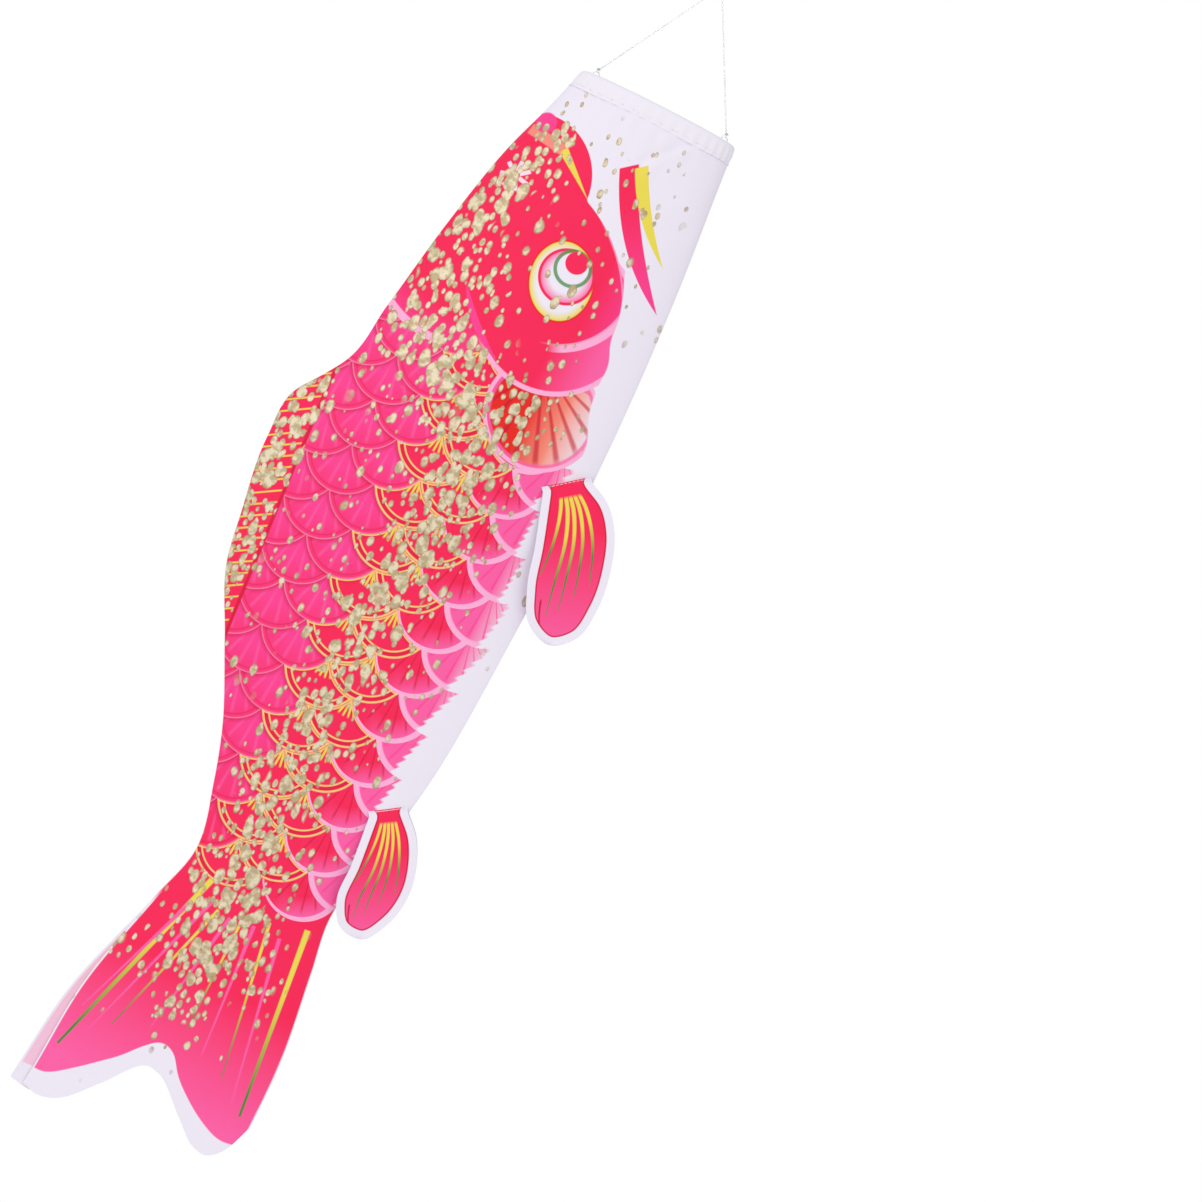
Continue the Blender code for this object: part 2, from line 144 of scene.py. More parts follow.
# A fin's outline is (reach, station) from its root's front end, which is the second point. The
# first is the root's rear end, and the others run round the tip, whose place in the row is given.
FIN_CUTS = {
    "pectoral": {
        "at": 0.3136,
        "body": "head",
        "cloth": "front",
        "outline": (
            (-0.0235, 0.0190), (0.0000, 0.0000), (0.0145, 0.0075), (0.0255, 0.0205),
            (0.0335, 0.0405), (0.0375, 0.0665), (0.0340, 0.0885), (0.0210, 0.0990),
            (0.0050, 0.0935), (-0.0060, 0.0745), (-0.0130, 0.0505),
        ),
        "tip": 7,
    },
    "anal": {
        "at": 0.6386,
        "body": "rear",
        "cloth": "rear",
        "outline": (
            (-0.0195, 0.0130), (0.0000, 0.0000), (0.0110, 0.0110), (0.0185, 0.0250),
            (0.0230, 0.0430), (0.0200, 0.0650), (0.0090, 0.0810), (-0.0050, 0.0800),
            (-0.0140, 0.0670), (-0.0160, 0.0430),
        ),
        "tip": 6,
    },
}
FIN_YAW = math.radians(7)
FAN_START = 0.78  # share of the length at which the tail's far layer begins to show

# The stage
CAMERA_AT = (0.1027, -2.418, -0.3758)
CAMERA_ROLL = math.radians(26.92)
LENS, SENSOR = 120, 36
LIGHTS = (  # name, place from the streamer's middle, diameter and watts
    ("key_light", (-1.3, -2.0, 0.7), 1.6, 17.0),
    ("fill_light", (1.7, -1.6, -0.9), 1.8, 7.0),
    ("back_light", (0.3, 2.2, 0.2), 1.6, 16.0),
)
WHITE_SEEN, WHITE_CAST = 1.0, 0.72  # the surroundings' strength to the camera and on the cloth
FLOOR_AT, FLOOR_RADIUS, FLOOR_THICK, FLOOR_EDGE = -0.985, 0.42, 0.012, 0.003


def size(name, about, default):
    """A length setting."""
    return bpy.props.FloatProperty(
        name=name, description=about, default=default, unit="LENGTH", precision=4
    )


def colour(name, about, *chart):
    """A colour setting given as a colour chart shows it, 0 to 255, and kept as scene light."""
    return bpy.props.FloatVectorProperty(
        name=name, description=about, subtype="COLOR", size=3, min=0, max=1, default=light_of(*chart)[:3]
    )


def light_of(*chart):
    """A chart colour, 0 to 255, as scene light with an alpha of 1."""
    share = np.array(chart) / 255
    light = np.where(share <= 0.04045, share / 12.92, ((share + 0.055) / 1.055) ** 2.4)
    return (*(float(v) for v in light), 1.0)


class StreamerCut(bpy.types.PropertyGroup):
    """What the cloth is cut to."""

    length: size("Length", "Mouth rim to the longest tail tip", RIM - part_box("right_tail_panel")[0].z)
    mouth_width: size("Mouth width", "Back to belly", HEM_HIGH.x - HEM_LOW.x - 2 * WALL)
    mouth_depth: size("Mouth depth", "Side to side, over the hem", HEM_HIGH.y - HEM_LOW.y)
    body_width: size("Body width", "Widest, back to belly", 0.186)
    body_depth: size("Body depth", "Fullest, side to side", 0.036)
    waist_width: size("Waist width", "Narrowest, ahead of the tail", 0.090)
    tail_width: size("Tail width", "Across the tail's end", 0.140)
    hem_width: size("Hem width", "From the rim to the hem's edge", HEM_HIGH.z - HEM_LOW.z)
    cloth: size("Cloth", "Thickness of the printed cloth", 0.0003)
    sunk: size("Sunk", "How far the cloth lies inside the frame's outside", 0.0004)
    piece_line: size("Piece line", "Where the front print meets the rear print", 0.455)
    body_bend: size("Body bend", "Cloth that turns, each way from the body's bend", 0.072)
    tail_bend: size("Tail bend", "Cloth that turns, each way from the tail's bend", 0.055)
    slack: size("Slack", "How deep the soft waves in the cloth are", 0.0011)
    tail_fan: size("Tail fan", "How far the far layer shows past the near one", 0.0085)
    stitch: size("Stitch", "Length of one stitch", 0.0026)
    thread: size("Thread", "Radius of a bridle line", 0.0004)


class StreamerDyes(bpy.types.PropertyGroup):
    """The colours of cloth, dyes and foil."""

    cloth: colour("Cloth", "White polyester with a lilac cast", 241, 235, 248)
    red: colour("Red", "Main print colour", 250, 38, 88)
    deep_red: colour("Deep red", "Lines and shadows of the print", 205, 10, 48)
    hot_pink: colour("Hot pink", "Scales of the back", 255, 66, 148)
    pink: colour("Pink", "Belly side of the print", 255, 98, 168)
    pale_pink: colour("Pale pink", "Borders of the plates and scales", 255, 178, 218)
    orange: colour("Orange", "Third gill plate", 236, 38, 30)
    salmon: colour("Salmon", "Where the third plate fades", 250, 150, 130)
    yellow: colour("Yellow", "Rays and bursts", 238, 220, 84)
    green: colour("Green", "Ends of the rays", 62, 140, 58)
    gold_line: colour("Gold line", "Printed lines round the middle scales", 250, 208, 124)
    foil: colour("Foil", "Champagne foil", 190, 172, 134)
    foil_light: colour("Foil, light", "Where the foil catches light", 232, 219, 188)
    foil_edge: colour("Foil, edge", "The shaded rim of each flake of foil", 140, 116, 80)
    thread: colour("Thread", "Sewing thread", 250, 247, 252)
    steel: colour("Steel", "Hoop wire", 200, 202, 206)
    floor: colour("Floor", "Pale floor", 246, 245, 247)


def cut():
    """The cut's settings."""
    return bpy.context.scene.streamer_cut


def dye(name):
    """A dye's colour with an alpha of 1."""
    return (*getattr(bpy.context.scene.streamer_dyes, name), 1.0)


# ---------------------------------------------------------------------------- cut of the cloth


def smooth_line(points, at):
    """A smooth curve through (place, value) points: cubic pieces, central differences as slopes."""
    place, value = np.array(points, float).T
    slope = np.gradient(value, place)
    at = np.clip(np.asarray(at, float), place[0], place[-1])
    k = np.clip(np.searchsorted(place, at, side="right") - 1, 0, len(place) - 2)
    width = place[k + 1] - place[k]
    t = (at - place[k]) / width
    return (
        (2 * t**3 - 3 * t**2 + 1) * value[k]
        + (t**3 - 2 * t**2 + t) * width * slope[k]
        + (3 * t**2 - 2 * t**3) * value[k + 1]
        + (t**3 - t**2) * width * slope[k + 1]
    )


def measured(outline, kind, station):
    """An outline's distance at a station: each share times the width or depth of its part."""
    rows = [
        (at, share * getattr(cut(), f"{part}_{kind}")) for part, row in outline.items() for at, share in row
    ]
    return smooth_line(rows, np.asarray(station) / cut().length)


def edges(station):
    """Half width and middle of the cloth at a station, both along X."""
    back, belly = (measured(outline, "width", station) for outline in (BACK_EDGE, BELLY_EDGE))
    return (back + belly) / 2, (belly - back) / 2


def fade(value, start, end):
    """0 before start, 1 after end and an even S curve between."""
    t = np.clip((np.asarray(value, float) - start) / (end - start), 0, 1)
    return t * t * (3 - 2 * t)


def bell(value, middle, width):
    """1 at the middle, falling off evenly to both sides."""
    return np.exp(-(((value - middle) / width) ** 2))


WAVES = (  # height, length, lean across the cloth and start
    (0.55, 0.128, 0.42, 0.6),
    (0.30, 0.057, -0.65, 2.1),
    (0.22, 0.031, 1.3, 4.0),
)


def ripple(station, across):
    """Soft waves of the loose cloth: long and short sines that die out at both edges and at the
    hem, puckers along the seams, and one slanting crease below the mouth."""
    half, middle = edges(station)
    x = middle + half * across
    loose = (1 - across**2) * fade(station, 0.012, 0.06)
    waves = sum(high * np.sin(TURN * (station / long + lean * across) + at) for high, long, lean, at in WAVES)
    to_seam = (1 - np.abs(across)) * half
    pucker = 0.45 * np.sin(TURN * station / 0.017 + 3 * across)
    pucker *= np.exp(-to_seam / 0.007) * fade(to_seam, 0, 0.003)
    gather = 0.5 * np.sin(TURN * x / 0.0115 + 1) * np.exp(-np.maximum(station - 0.012, 0) / 0.012)
    gather *= fade(station, 0.011, 0.016) * (1 - across**2)
    crease_x = 0.024 - 0.0185 * fade(station, 0.010, 0.037) ** 1.2
    crease = -1.1 * bell(x, crease_x, 0.0035) + 0.7 * bell(x, crease_x + 0.006, 0.004)
    crease *= fade(station, 0.008, 0.016) * (1 - fade(station, 0.032, 0.050))
    return cut().slack * (loose * waves + pucker + gather + crease)


def lens(station, across):
    """The smooth cross-section and how much of its depth it has at each place: the root of
    1 - across squared, raised to a power that sharpens the edges."""
    power = smooth_line(POINTED, np.asarray(station) / cut().length)
    round_off = np.sqrt(np.clip(1 - np.asarray(across) ** 2, 0, 1)) ** power
    return (measured(HALF_DEPTH, "depth", station) - cut().sunk) * round_off, round_off


def skin_reach(station, across):
    """How far the outside of the cloth stands from the middle plane: the lens and its waves."""
    smooth, round_off = lens(station, across)
    return smooth + ripple(station, np.asarray(across)) * np.sqrt(round_off)


def outside_at(x, station):
    """The same by X, with the cloth's edges as far out as the frame's."""
    half, middle = edges(station)
    return skin_reach(station, np.clip((x - middle) / (half + WALL - cut().sunk), -1, 1))


def outside_of_frame(x, station):
    """How far the frame's own cloth stands out, which is where its fins hang."""
    half, middle = edges(station)
    across = np.clip((x - middle) / half, -1, 1)
    edge = 0.0005 + FRAME_GAP
    inside = measured(HALF_DEPTH, "depth", station) - WALL
    round_off = np.sqrt(1 - across**2) ** smooth_line(POINTED, station / cut().length)
    return edge + (inside - edge) * round_off + WALL


def height(station):
    """Z at a station."""
    return RIM - station


def fanned(station):
    """How far the tail's near layer is drawn in at a station, so that the far one shows."""
    return fade(station, FAN_START * cut().length, cut().length) * cut().tail_fan


# ------------------------------------------------------------------------------ mesh building


def circle(count, end=TURN, endpoint=False):
    """Cosines and sines of even turns, as two columns."""
    turn = np.linspace(0, end, count, endpoint=endpoint)
    return np.stack([np.cos(turn), np.sin(turn)], -1)


def make_object(name, mesh, material):
    """Puts a mesh with its material into the scene."""
    mesh.materials.append(material)
    made = bpy.data.objects.new(name, mesh)
    bpy.context.scene.collection.objects.link(made)
    return made


def make_mesh(name, points, faces, material, uv=None, attributes=(), sharp=60):
    """A mesh object from arrays of points and of four-cornered faces. uv and the attributes hold
    one value for each point."""
    mesh = bpy.data.meshes.new(name)
    mesh.from_pydata(np.asarray(points, float).tolist(), [], np.asarray(faces).tolist())
    if uv is not None:
        corners = np.empty(len(mesh.loops), np.int32)
        mesh.loops.foreach_get("vertex_index", corners)
        layer = mesh.uv_layers.new(name="cloth")
        layer.data.foreach_set("uv", uv[corners].astype(np.float32).ravel())
    for word, values in dict(attributes).items():
        made = mesh.attributes.new(word, "FLOAT", "POINT")
        made.data.foreach_set("value", np.asarray(values, np.float32).ravel())
    mesh.shade_smooth()
    if sharp:
        mesh.set_sharp_from_angle(angle=math.radians(sharp))
    mesh.update()
    return make_object(name, mesh, material)


def grid(rows, columns, round_rows=False, round_columns=False):
    """Four-cornered faces of a grid stored row by row, joined to its start where it is round."""
    i = np.arange(rows if round_rows else rows - 1)[:, None]
    j = np.arange(columns if round_columns else columns - 1)[None, :]
    a, b = i * columns, (i + 1) % rows * columns
    k = (j + 1) % columns
    return np.stack([a + j, a + k, b + k, b + j], -1).reshape(-1, 4)


def cloth_piece(name, surface, facing, material, uv, attributes=(), thick=None):
    """A piece of cloth: the grid of outside points, the same grid moved in by the cloth's
    thickness along its normals, and a rim that closes them. facing is the way its outside looks.
    The attribute wrong_side is 0 on the outside and 1 on the inside."""
    rows, columns = surface.shape[:2]
    thick = cut().cloth if thick is None else thick
    normal = np.cross(np.gradient(surface, axis=0), np.gradient(surface, axis=1))
    normal /= np.maximum(np.linalg.norm(normal, axis=-1, keepdims=True), 1e-12)
    turned = (normal @ np.array(facing, float)).mean() < 0
    if turned:
        normal = -normal
    count = rows * columns
    points = np.concatenate([surface.reshape(-1, 3), (surface - normal * thick).reshape(-1, 3)])
    front = grid(rows, columns)
    index = np.arange(count).reshape(rows, columns)
    loop = np.concatenate([index[0, :-1], index[:-1, -1], index[-1, :0:-1], index[:0:-1, 0]])
    ahead = np.roll(loop, -1)
    rim = np.stack([ahead, loop, loop + count, ahead + count], -1)
    faces = np.concatenate([front, front[:, ::-1] + count, rim])
    if not turned:
        faces = faces[:, ::-1]
    both = {word: np.tile(np.ravel(values), 2) for word, values in dict(attributes).items()}
    both["wrong_side"] = np.repeat([0.0, 1.0], count)
    return make_mesh(name, points, faces, material, np.tile(uv.reshape(-1, 2), (2, 1)), both)


def swept(path, section):
    """Rings of a section of (sideways, upwards) offsets carried along a path without twisting:
    each step turns the last sideways direction only as far as the path turns."""
    path = np.asarray(path, float)
    ahead = np.gradient(path, axis=0)
    ahead /= np.linalg.norm(ahead, axis=1, keepdims=True)
    start = np.eye(3)[np.argmin(np.abs(ahead[0]))]
    sideways = [np.cross(ahead[0], start)]
    for direction in ahead[1:]:
        sideways.append(sideways[-1] - direction * (direction @ sideways[-1]))
    sideways = np.array(sideways)
    sideways /= np.linalg.norm(sideways, axis=1, keepdims=True)
    upwards = np.cross(ahead, sideways)
    out, up = np.asarray(section, float).T
    return path[:, None] + sideways[:, None] * out[:, None] + upwards[:, None] * up[:, None]


def tube_mesh(path, radius, sides=12, rounded=2):
    """Points and faces of a thread: a round section along a path, its ends closed by rounded
    caps that shrink to a small disc."""
    rings = swept(path, radius * circle(sides))
    path = np.asarray(path, float)
    caps = []
    for end, inner in ((0, 1), (-1, -2)):
        out = path[end] - path[inner]
        out /= np.linalg.norm(out)
        lean = np.linspace(0, math.pi / 2, rounded + 2)[1:]
        lean[-1] = math.radians(86)
        spokes = rings[end] - path[end]
        caps.append([path[end] + spokes * math.cos(a) + out * radius * math.sin(a) for a in lean])
    whole = np.concatenate([np.array(caps[0])[::-1], rings, np.array(caps[1])])
    first = np.arange(sides)
    ends = []
    for ring, flip in ((first, True), (first + (len(whole) - 1) * sides, False)):
        fan = np.array([[ring[0], ring[k], ring[k + 1], ring[k + 2]] for k in range(1, sides - 2, 2)])
        ends.append(fan[:, ::-1] if flip else fan)
    return whole.reshape(-1, 3), np.concatenate([grid(len(whole), sides, round_columns=True), *ends])


def outwards(points, faces):
    """The faces, all turned round if the volume they enclose comes out negative."""
    a, b, c, d = (points[faces[:, k]] for k in range(4))
    volume = (np.cross(b, c) * a).sum() + (np.cross(c, d) * a).sum()
    return faces if volume > 0 else faces[:, ::-1]


def threads(name, paths, radius, material, sides=12, rounded=2):
    """One piece from threads of one radius, each along its own path."""
    parts, faces, count = [], [], 0
    for path in paths:
        points, quads = tube_mesh(path, radius, sides, rounded)
        parts.append(points)
        faces.append(outwards(points, quads) + count)
        count += len(points)
    return make_mesh(name, np.concatenate(parts), np.concatenate(faces), material, sharp=0)


def shell_piece(name, rings, material, sharp):
    """A piece whose section is a closed loop of rings: the wall's outside and then its inside."""
    points = rings.reshape(-1, 3)
    faces = grid(*rings.shape[:2], round_rows=True, round_columns=True)
    return make_mesh(name, points, outwards(points, faces), material, sharp=sharp)


def stitches(name, starts, ends, lifts, radius):
    """A row of stitches: each is a short thread that bows up from its start and dips at its end."""
    share = np.linspace(0, 1, 6)[:, None]
    bow = 1.2 * np.sin(math.pi * share) - 0.3
    paths = [
        start + (end - start) * share + lift * radius * bow for start, end, lift in zip(starts, ends, lifts)
    ]
    return threads(name, paths, radius, shared("sewing_thread", sewing_thread), 6, 1)


def settle(piece, body, slot, *nodes):
    """The body a piece rides on, if it has one, and the nodes it stands for. slot is not used."""
    if body:
        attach(piece, body)
    if nodes:
        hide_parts(*nodes)
    return piece


# ---------------------------------------------------------------------------------- materials


def adds(operation, turned=False):
    """An operator of Dye that adds a Math node; turned is for a number on its left."""
    return lambda one, other: one.recipe.maths(operation, *((other, one) if turned else (one, other)))


class Dye:
    """One socket's value in a recipe. Python's operators on it add Math nodes."""

    def __init__(self, recipe, socket):
        self.recipe, self.socket = recipe, socket

    __add__, __radd__ = adds("ADD"), adds("ADD", True)
    __sub__, __rsub__ = adds("SUBTRACT"), adds("SUBTRACT", True)
    __mul__, __rmul__ = adds("MULTIPLY"), adds("MULTIPLY", True)
    __truediv__ = adds("DIVIDE")

    def __abs__(self):
        return self.recipe.maths("ABSOLUTE", self)

    def output(self, number):
        """Another output of the same node."""
        return Dye(self.recipe, self.socket.node.outputs[number])

    def above(self, at, blur):
        """1 where this is over a level and 0 where it is under, blurred over a width."""
        return self.recipe.maths("MULTIPLY_ADD", self, 1 / blur, 0.5 - at / blur, clamp=True)

    def below(self, at, blur):
        """1 where this is under a level."""
        return self.recipe.maths("MULTIPLY_ADD", self, -1 / blur, 0.5 + at / blur, clamp=True)

    def between(self, low, high, blur):
        """1 where this is between two levels."""
        return abs(self - (low + high) / 2).below((high - low) / 2, blur)


class Recipe:
    """A material's node tree, written as expressions."""

    def __init__(self, name):
        self.material = bpy.data.materials.new(name)
        self.material.use_nodes = True
        self.tree = self.material.node_tree
        self.tree.nodes.clear()

    def add(self, kind, settings=(), inputs=(), output=0):
        """Adds any node: its type, its settings, and the values or links of its sockets."""
        node = self.tree.nodes.new(kind)
        for word, value in dict(settings).items():
            setattr(node, word, value)
        for word, value in dict(inputs).items():
            if isinstance(value, Dye):
                self.tree.links.new(value.socket, node.inputs[word])
            else:
                node.inputs[word].default_value = value
        return Dye(self, node.outputs[output] if node.outputs else None)

    def maths(self, operation, *values, clamp=False):
        settings = {"operation": operation, "use_clamp": clamp}
        return self.add("ShaderNodeMath", settings, enumerate(values))

    def vector(self, operation, *values):
        """A Vector Math node whose answer is a number."""
        return self.add("ShaderNodeVectorMath", {"operation": operation}, enumerate(values), 1)

    def over(self, under, *coats):
        """Coats of (paint, mask) laid over what is there in turn, each where its mask is 1. Paint
        is a dye's name, a colour or a link."""
        for paint, mask in coats:
            under, paint = (dye(word) if isinstance(word, str) else word for word in (under, paint))
            under = self.add("ShaderNodeMix", {"data_type": "RGBA"}, {0: mask, 6: under, 7: paint}, 2)
        return under

    def value(self, name):
        """An attribute of the mesh."""
        return self.add("ShaderNodeAttribute", {"attribute_name": name}, (), 2)

    def object_place(self):
        return self.add("ShaderNodeTexCoord", (), (), 3)

    def noise(self, place, scale, detail):
        return self.add("ShaderNodeTexNoise", (), {"Vector": place, "Scale": scale, "Detail": detail})

    def finish(self, bump=None, **sockets):
        """The closing shader. Numbers are set on its own sockets; only surfaces vary by links.
        bump is a height and how far it stands out."""
        inputs = {word.replace("_", " "): value for word, value in sockets.items()}
        if bump:
            inputs["Normal"] = self.add(
                "ShaderNodeBump", (), {"Height": bump[0], "Strength": 1.0, "Distance": bump[1]}
            )
        surface = self.add("ShaderNodeBsdfPrincipled", (), inputs)
        self.add("ShaderNodeOutputMaterial", (), {"Surface": surface})
        return self.material


MAP_SHIFT = 0.15  # added to X in the cloth's own map, which keeps it above zero
FOIL_CELLS = (  # turn of the cells, their size in mm, a blob's share of one and where they start
    (0.5, 8.6, 0.45, 3.0),
    (0.1, 6.4, 0.43, 17.0),
    (0.9, 12.5, 0.42, 31.0),
)
FOIL_STRETCH = 1.32, 0.80
FAR_FOIL = 61, 23  # how far the splatter is shifted on the far side, in mm


class Print(Recipe):
    """A recipe for printed cloth, with its places in millimetres from the cloth's own map."""

    def __init__(self, name):
        super().__init__(name)
        cloth_map = self.add("ShaderNodeUVMap", {"uv_map": "cloth"})
        inputs = {"Vector": cloth_map, "Location": (-MAP_SHIFT * MM, 0, 0), "Scale": (MM, MM, MM)}
        self.place = self.add("ShaderNodeMapping", (), inputs)
        self.r = self.add("ShaderNodeSeparateXYZ", (), {0: self.place})
        self.s = self.r.output(1)
        self.wrong_side = self.value("wrong_side")

    def away(self, s, r):
        """Distance from a point on the cloth."""
        return self.vector("DISTANCE", self.place, (r, s, 0))

    def reach(self, a, b):
        """The root of two squares' sum."""
        return self.maths("SQRT", a * a + b * b)

    def spokes(self, x, y, step):
        """The angle from the nearest of a fan of spokes, which stand two steps apart."""
        return self.maths("PINGPONG", self.maths("ARCTAN2", x, y) + 3.1416, step)

    def along(self, s, r, to_s, to_r):
        """Distances along a line from its start, and across it."""
        length = math.hypot(to_s - s, to_r - r)
        ds, dr = (to_s - s) / length, (to_r - r) / length
        ahead = self.vector("DOT_PRODUCT", self.place, (dr, ds, 0)) - (r * dr + s * ds)
        side = self.vector("DOT_PRODUCT", self.place, (ds, -dr, 0)) - (r * ds - s * dr)
        return ahead, side, length

    def ray(self, s, r, to_s, to_r, wide, thin, blur=0.6):
        """A straight tapering ray: half as wide as given at its start, and thin at its end."""
        ahead, side, length = self.along(s, r, to_s, to_r)
        width = ahead * ((thin - wide) / 2 / length) + wide / 2
        mask = (width - abs(side)).above(0, blur) * ahead.between(0, length, blur)
        return mask, ahead / length

    def finish_cloth(self, paint, foil=None):
        """White cloth or print: the dye shows through paler on the wrong side, a fine weave lies
        over it, and the foil is smooth metal."""
        paint = self.over(paint, ("cloth", self.wrong_side * 0.62))
        weave = self.maths("SINE", self.r * 12.0) * self.maths("SINE", self.s * 12.0)
        roughness, metal, heights = weave * 0.05 + 0.56, 0.0, weave * 0.5
        if foil:
            mask, rough, metal_paint = foil
            shown = mask * (1 - self.wrong_side)
            paint = self.over(paint, (metal_paint, shown))
            roughness = roughness + (rough - roughness) * shown
            metal = shown * 0.35
            heights = heights + shown * 1.2
        return self.finish(
            (heights, 0.00004),
            Base_Color=paint,
            Roughness=roughness,
            Metallic=metal,
            Sheen_Weight=0.08,
            Sheen_Roughness=0.4,
            Specular_IOR_Level=0.18,
        )

    def foil(self):
        """Splattered foil: three patterns of stretched cells with a blob in each, which run
        together where there is much of it, with a shaded rim round what they make."""
        share, far = self.value("foil"), self.value("far_side")
        shifted = {0: self.r + far * FAR_FOIL[0], 1: self.s + far * FAR_FOIL[1]}
        splatter = self.add("ShaderNodeCombineXYZ", (), shifted)
        warp = (self.noise(splatter, 0.16, 2.0) - 0.5) * 0.22
        blobs, cores = [], []
        for angle, cell, room, seed in FOIL_CELLS:
            turned = {
                "Vector": splatter,
                "Location": (seed, seed * 1.7, 0),
                "Rotation": (0, 0, angle),
                "Scale": (FOIL_STRETCH[0] / cell, FOIL_STRETCH[1] / cell, 1),
            }
            cells = {"Vector": self.add("ShaderNodeMapping", (), turned), "Scale": 1.0, "Randomness": 1.0}
            away = self.add("ShaderNodeTexVoronoi", {"voronoi_dimensions": "2D"}, cells)
            pick = self.add("ShaderNodeSeparateColor", (), {0: away.output(1)})
            present = (share * 0.86 - pick).above(0.02, 0.04)
            radius = (pick.output(1) * 0.62 + 0.38) * room * (share * 0.45 + 0.62) + warp
            blobs.append((radius - away).above(0.0, 0.045) * present)
            cores.append((radius - away).above(0.045, 0.075) * present)
        mask, inner = (
            self.maths("MAXIMUM", self.maths("MAXIMUM", *group[:2]), group[2]) for group in (blobs, cores)
        )
        tone = self.noise(self.place, 0.22, 3.0)
        paint = self.over("foil", ("foil_light", tone.above(0.5, 0.16)), ("foil_edge", (1 - inner) * 0.6))
        return mask, tone * 0.2 + 0.38, paint


# Scales of the body print, in mm
SCALE = 25.0
COLUMN_STEP = 23.2
COLUMN_AT = -3.6
ROW_STEP = 30.2
ROW_AT = 225.0
LAST_COLUMN = 2
FIRST_ROW = 150.0  # of the middle column, and so much further down with each one to the belly
FIRST_ROW_STEP = 37.0
LAST_ROW = 524.0
BESIDE = 23.2, 15.1  # from a scale's middle to those of its upper neighbours
HIDDEN = 1000  # further than any scale reaches


def scale_lattice(print_):
    """Overlapping round scales in columns, each column half a step off the last. The upper scale
    lies on top, so at each place the disc with the highest middle that covers it shows. Returns
    the column, the place from the disc's middle, and the distance inside its rim."""
    r, s = print_.r, print_.s
    column = print_.maths("ROUND", (r - COLUMN_AT) / COLUMN_STEP)
    near_x = r - COLUMN_AT - column * COLUMN_STEP
    way = print_.maths("SIGN", near_x)
    beside_x = near_x - way * COLUMN_STEP

    def row(column, x):
        chord = print_.maths("SQRT", SCALE**2 - x * x)
        first = ROW_AT - print_.maths("FLOORED_MODULO", column, 2.0) * (ROW_STEP / 2)
        steps = print_.maths("CEIL", (s - chord - first) / ROW_STEP)
        below = s - first - steps * ROW_STEP
        return chord, below - column.above(LAST_COLUMN + 0.5, 0.1) * HIDDEN

    _, near_s = row(column, near_x)
    chord, beside_s = row(column + way, beside_x)
    upper = (beside_s - near_s).above(0, 0.001) * (beside_s + chord).above(0, 0.001)
    x = near_x + (beside_x - near_x) * upper
    down = near_s + (beside_s - near_s) * upper
    column = column + way * upper
    middle = s - down
    start = column * FIRST_ROW_STEP + FIRST_ROW
    past = middle.above(LAST_ROW, 0.1) + (start - middle).above(0, 0.1)
    return column, x, down, SCALE - print_.reach(x, down) - past * HIDDEN


def paint_scales(print_, paint):
    """The scales of the body: hot pink with darker arcs on the back, red with gold lines and a
    yellow burst along the middle, and paler, fading columns towards the belly."""
    column, x, down, inside = scale_lattice(print_)
    side = print_.reach(abs(x) - BESIDE[0], down + BESIDE[1]) - SCALE
    spokes = print_.spokes(x, down + 13.0, 0.14)
    rays = spokes.below(0.022, 0.03)

    middle = abs(column + 0.5).below(1, 0.1)
    reach = print_.reach(x, down + 7.0)
    needle = (print_.spokes(x, down + 9.0, 0.11) * reach).below(0.52, 0.35)
    star = needle * reach.below(13, 1.5) * side.above(1.0, 0.4)
    lines = inside.between(0.3, 1.4, 0.4) + inside.between(3.9, 4.9, 0.4) + side.between(0.2, 1.0, 0.4)

    first = abs(column - 1).below(0.5, 0.1)
    last = column.above(1.5, 0.1)
    belly = print_.over(
        "pink",
        ("cloth", print_.r.above(49, 16) * 0.7),
        ("hot_pink", rays * inside.above(5, 4) * 0.8),
        ("pale_pink", inside.below(3.4, 1.0)),
    )
    tone = print_.over(
        "hot_pink",
        # back columns
        ("red", print_.maths("MAXIMUM", print_.s.above(480, 90), inside.below(9, 14) * 0.5)),
        ("pink", spokes.below(0.03, 0.05) * down.above(2, 12) * inside.above(4, 3) * 0.55),
        ("deep_red", inside.between(2.4, 3.1, 0.6) * 0.45),
        ("deep_red", side.below(1.6, 2.6) * 0.55),
        ("pale_pink", inside.below(0.7, 0.9) * 0.35),
        # middle columns
        ("red", middle),
        ("deep_red", middle * inside.between(1.6, 4.2, 0.8) * 0.45),
        ("deep_red", middle * side.below(2.2, 2.5) * 0.4),
        ("yellow", middle * star),
        ("gold_line", middle * lines),
        # the two belly columns
        ("red", first),
        ("pink", first * inside.below(9, 12) * x.above(-4, 16)),
        ("deep_red", first * rays * inside.above(6, 4) * 0.6),
        ("pale_pink", first * (x * 0.06 + 2.3 - inside).above(0, 0.4)),
        (belly, last),
    )
    jag = print_.maths("PINGPONG", print_.s + print_.r * 0.6, 2.4)
    torn = print_.value("past_belly") * MM - jag + last * (down * 0.22 + 1.2)
    return print_.over(paint, (tone, inside.above(0, 0.3) * torn.below(0, 1.6)))


def paint_dorsal(print_, paint):
    """The dorsal fin along the back: red with short slanting rays."""
    r, s = print_.r, print_.s
    edge = r - (s - 231) * 0.075
    strip = edge.below(-102, 0.8) * s.above(215, 2)
    rays = print_.maths("PINGPONG", s * 0.9 + r * 0.55, 3.6)
    return print_.over(
        paint,
        ("red", strip),
        ("deep_red", strip * edge.above(-104, 0.8) * 0.7),
        ("yellow", strip * rays.below(0.5, 0.6) * edge.below(-104.5, 0.8)),
    )


